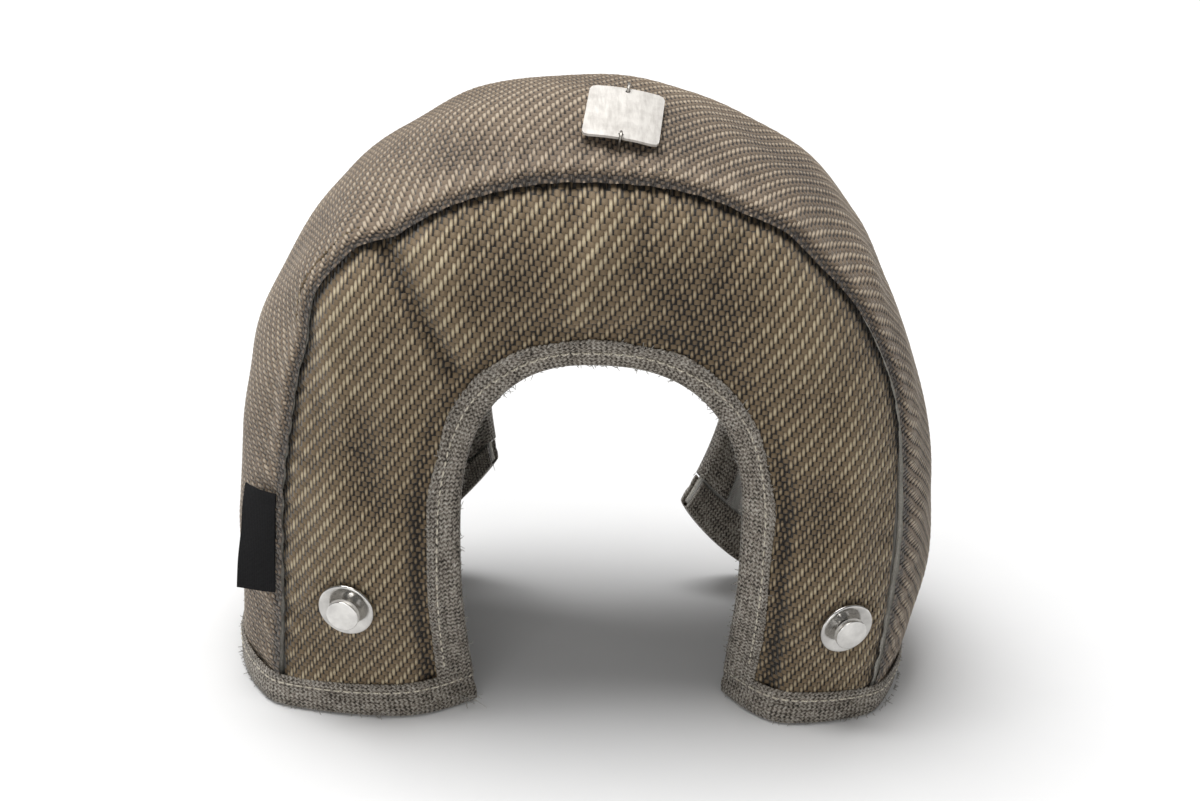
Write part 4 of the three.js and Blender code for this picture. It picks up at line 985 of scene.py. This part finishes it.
def side_label():
    """A ribbon from the left front seam: it swings backwards by a sweep that grows with height and with reach."""
    way_up = np.linspace(0, 0.3, 400)
    t = np.interp(np.linspace(LABEL["low"], LABEL["high"], 60), seam_at(way_up, 0)[1], way_up)
    share = np.linspace(0, 1, 24)
    gt, gs = np.meshgrid(t, share, indexing="ij")
    x, z = seam_at(gt, 0)
    ox, oz = out_of_seam(gt)
    height = (z - LABEL["low"]) / (LABEL["high"] - LABEL["low"])
    wave = 0.25 * np.sin(height * 9 + gs * 3) * gs
    reach = CLOTH / 2 + gs * LABEL["width"]
    turn = np.radians(blend(LABEL["low_sweep"], LABEL["high_sweep"], height)) * (0.6 + 0.5 * gs)

    def skin(side):
        lift = side * LABEL["sheet"] / 2 * (1 + 0.35 * (np.abs(2 * gs - 1) > 0.93)) + wave
        n = reach * np.cos(turn) - lift * np.sin(turn)
        y = reach * np.sin(turn) + lift * np.cos(turn)
        return np.stack([x + ox * n, y, z + oz * n], -1)

    points, faces = between(skin(1), skin(-1))
    uv = np.concatenate([np.stack([gs * LABEL["width"], height * 32.5], -1).reshape(-1, 2)] * 2)
    return put("side_ribbon", points, faces, uv, RIBBON, ["side_label"])


# The blanket

face_cloth("front_twill_cloth", FRONT, ["front_outer_cloth"])
face_cloth("rear_twill_cloth", REAR, ["rear_outer_cloth"])
crown_cloth()
layers("front", FRONT, "front_insulation_mat", "front_inner_lining")
layers("crown", None, "crown_insulation_mat", "crown_inner_lining")
layers("rear", REAR, "rear_insulation_mat", "rear_inner_lining")
opening_tape("front_opening_tape", FRONT, ["front_opening_binding"])
opening_tape("rear_opening_tape", REAR, ["rear_opening_binding"])
hem_tape("left_hem_tape", 0, ["left_hem_binding"])
hem_tape("right_hem_tape", 1, ["right_hem_binding"])
side_label()

for wall, side in ((FRONT, "front"), (REAR, "rear")):
    for index, hand in enumerate(("left", "right")):
        stem = f"{side}_{hand}"
        stud, washer = [stem + "_lacing_stud"], [stem + "_cup_washer"]
        turned(stem + "_polished_stud", wall, index, STUD_PROFILE, POLISHED, stud)
        turned(stem + "_dished_washer", wall, index, CUP_PROFILE, WASHER_STEEL, washer)

tape_t = np.linspace(0.03, 0.97, 600)
middle_b = through([[0.03, 8.6], [0.2, 7.6], [0.4, 6.2], [0.6, 6.2], [0.75, 8.2], [0.97, 8.8]], tape_t)
front_line = tape_line(FRONT, tape_t, middle_b)
rear_line = tape_line(REAR, tape_t, 6.0)
opening_lines, opening_outs = zip(front_line, rear_line)
sewn("opening_stitches", opening_lines, opening_outs, STITCH_PITCH, 0.3, 0.6, CREAM_THREAD)

hem_lines = [hem_ring(foot, [8.2], [-1.2])[:, 0] for foot in (0, 1)]
hem_outs = []
for line in hem_lines:
    way = np.gradient(line, axis=0)
    normal = unit(np.cross(way, np.array([0.0, 0.0, 1.0])))
    hem_outs.append(normal * (1 if (normal * (line - line.mean(0))).sum() > 0 else -1))
sewn("hem_stitches", hem_lines, hem_outs, STITCH_PITCH, 0.28, 0.5, CREAM_THREAD)

random = np.random.default_rng(7)


def fringe(line, out, count, spread, length):
    """Roots along a line, each with a heading out of it and to one side."""
    steps = np.sort(random.uniform(0, run_of(line)[-1], count))
    root, along = along_line(line, steps)
    normal = np.stack([np.interp(steps, run_of(line), out[:, k]) for k in range(3)], -1)
    side = np.cross(normal, along)
    way = normal * random.uniform(0.1, 0.9, (count, 1))
    way = way + side * random.normal(0, spread, (count, 1))
    way = unit(way + along * random.normal(0, 0.8, (count, 1)))
    return root, way, random.uniform(0.4, 1.0, count) * length


outer_edge = tape_line(FRONT, tape_t, TAPE_WIDTH - 0.2)
fold_edge = tape_line(FRONT, tape_t, 1.0)
tufts = [fringe(outer_edge[0], outer_edge[1], 420, 0.9, 1.7), fringe(fold_edge[0], fold_edge[1], 260, 0.9, 1.5)]
for line, out in zip(hem_lines, hem_outs):
    top = line + np.array([0, 0, 2.2])
    foot = line + np.array([0, 0, -7.4]) - out * 0.3
    tufts.append(fringe(top, out, 160, 0.9, 1.6))
    tufts.append(fringe(foot, out, 200, 0.6, 2.0))
inner_corner = hem_lines[0][:6].mean(0) + np.array([0, 0, -6.0])
corner_roots = inner_corner + random.normal(0, 1.6, (26, 3))
corner_ways = unit(random.normal(0, 1, (26, 3)) + np.array([0.9, -0.8, 0.1]))
tufts.append((corner_roots, corner_ways, random.uniform(2.0, 4.5, 26)))
wires("frayed_wire_ends", *(np.concatenate(parts) for parts in zip(*tufts)), 3, GREY_WIRE)

for name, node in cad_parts.items():
    if name == "id_tag" or "staple" in name or "backing" in name:
        node.data.materials.clear()
        node.data.materials.append(PLATE if name == "id_tag" else WIRE)


# Room, light and camera

def room():
    """A pale floor that keeps the shadow, under a white world for the camera and for reflections."""
    f = Finish("pale studio floor")
    path = f.node("ShaderNodeLightPath")
    in_gloss = f.sum("MAXIMUM", path.outputs["Is Glossy Ray"], path.outputs["Is Transmission Ray"])
    seen = f.sum("MAXIMUM", path.outputs["Is Camera Ray"], in_gloss)
    grain = f.noise(f.place(), 40.0, 2.0, 0.5)
    reach = f.node("ShaderNodeVectorMath", {0: f.place()}, operation="LENGTH").outputs["Value"]
    eased = {"interpolation_type": "SMOOTHSTEP"}
    far = f.node("ShaderNodeMapRange", {0: reach, 1: 0.1, 2: 0.42, 3: 0.0, 4: 1.0}, **eased).outputs[0]
    distant = f.node("ShaderNodeMapRange", {0: reach, 1: 0.4, 2: 1.5, 3: 0.0, 4: 1.0}).outputs[0]
    pale = f.ramp(grain, [(0.0, (0.8, 0.8, 0.8)), (1.0, (0.82, 0.82, 0.82))])
    f.set(Base_Color=pale, Roughness=0.9, Specular_IOR_Level=0.1)
    glow_level = f.sum("MULTIPLY_ADD", distant, 0.42, f.sum("MULTIPLY_ADD", far, 0.32, 0.02))
    f.set(Emission_Color=(1.0, 1.0, 1.0, 1.0), Emission_Strength=f.sum("MULTIPLY", seen, glow_level))
    side = 6.0
    corners = [(-side, -side, 0), (side, -side, 0), (side, side, 0), (-side, side, 0)]
    mesh = bpy.data.meshes.new("floor")
    mesh.from_pydata(corners, [], [(0, 1, 2, 3)])
    mesh.materials.append(f.material)
    floor = bpy.data.objects.new("floor", mesh)
    bpy.context.scene.collection.objects.link(floor)
    world = bpy.data.worlds.new("studio")
    world.use_nodes = True
    tree = world.node_tree
    glow = tree.nodes["Background"]
    glow.inputs["Color"].default_value = (1, 1, 1, 1)
    light_path = tree.nodes.new("ShaderNodeLightPath")
    whole = tree.nodes.new("ShaderNodeMath")
    whole.operation = "MAXIMUM"
    tree.links.new(light_path.outputs["Is Camera Ray"], whole.inputs[0])
    tree.links.new(light_path.outputs["Is Transmission Ray"], whole.inputs[1])
    strength = tree.nodes.new("ShaderNodeMath")
    strength.operation = "MULTIPLY_ADD"
    tree.links.new(whole.outputs[0], strength.inputs[0])
    strength.inputs[1].default_value = 0.72
    strength.inputs[2].default_value = 0.28
    tree.links.new(strength.outputs[0], glow.inputs["Strength"])
    bpy.context.scene.world = world


def lamp(name, place, size, power):
    """A square soft box that looks at the middle of the blanket."""
    data = bpy.data.lights.new(name, "AREA")
    data.size, data.energy = size, power
    made = bpy.data.objects.new(name, data)
    made.location = place
    way = Vector(place) - Vector((0, 0, 0.08))
    made.rotation_euler = way.to_track_quat("Z", "Y").to_euler()
    bpy.context.scene.collection.objects.link(made)


def camera():
    """Set where the photograph was taken from: round, up and rolled by the fitted angles."""
    a, e, r = (math.radians(x) for x in (-1.95, 21.04, 1.99))
    back = np.array([math.sin(a) * math.cos(e), -math.cos(a) * math.cos(e), math.sin(e)])
    right = np.array([math.cos(a), math.sin(a), 0])
    up = np.cross(back, right)
    side = math.cos(r) * right + math.sin(r) * up
    head = -math.sin(r) * right + math.cos(r) * up
    place = np.array([3.73, 0.77, 85.73]) * MM + back * 0.7184
    turn = np.eye(4)
    turn[:3, 0], turn[:3, 1], turn[:3, 2], turn[:3, 3] = side, head, back, place
    data = bpy.data.cameras.new("camera")
    data.lens, data.sensor_width = 67.9, 36
    made = bpy.data.objects.new("camera", data)
    made.matrix_world = Matrix(turn.tolist())
    bpy.context.scene.collection.objects.link(made)
    bpy.context.scene.camera = made


room()
lamp("overhead_box", (-0.2, 0.05, 1.2), 0.8, 16.5)
lamp("front_fill", (-0.35, -1.35, 0.36), 0.7, 4.6)
camera()
bpy.context.scene.view_settings.view_transform = "Standard"
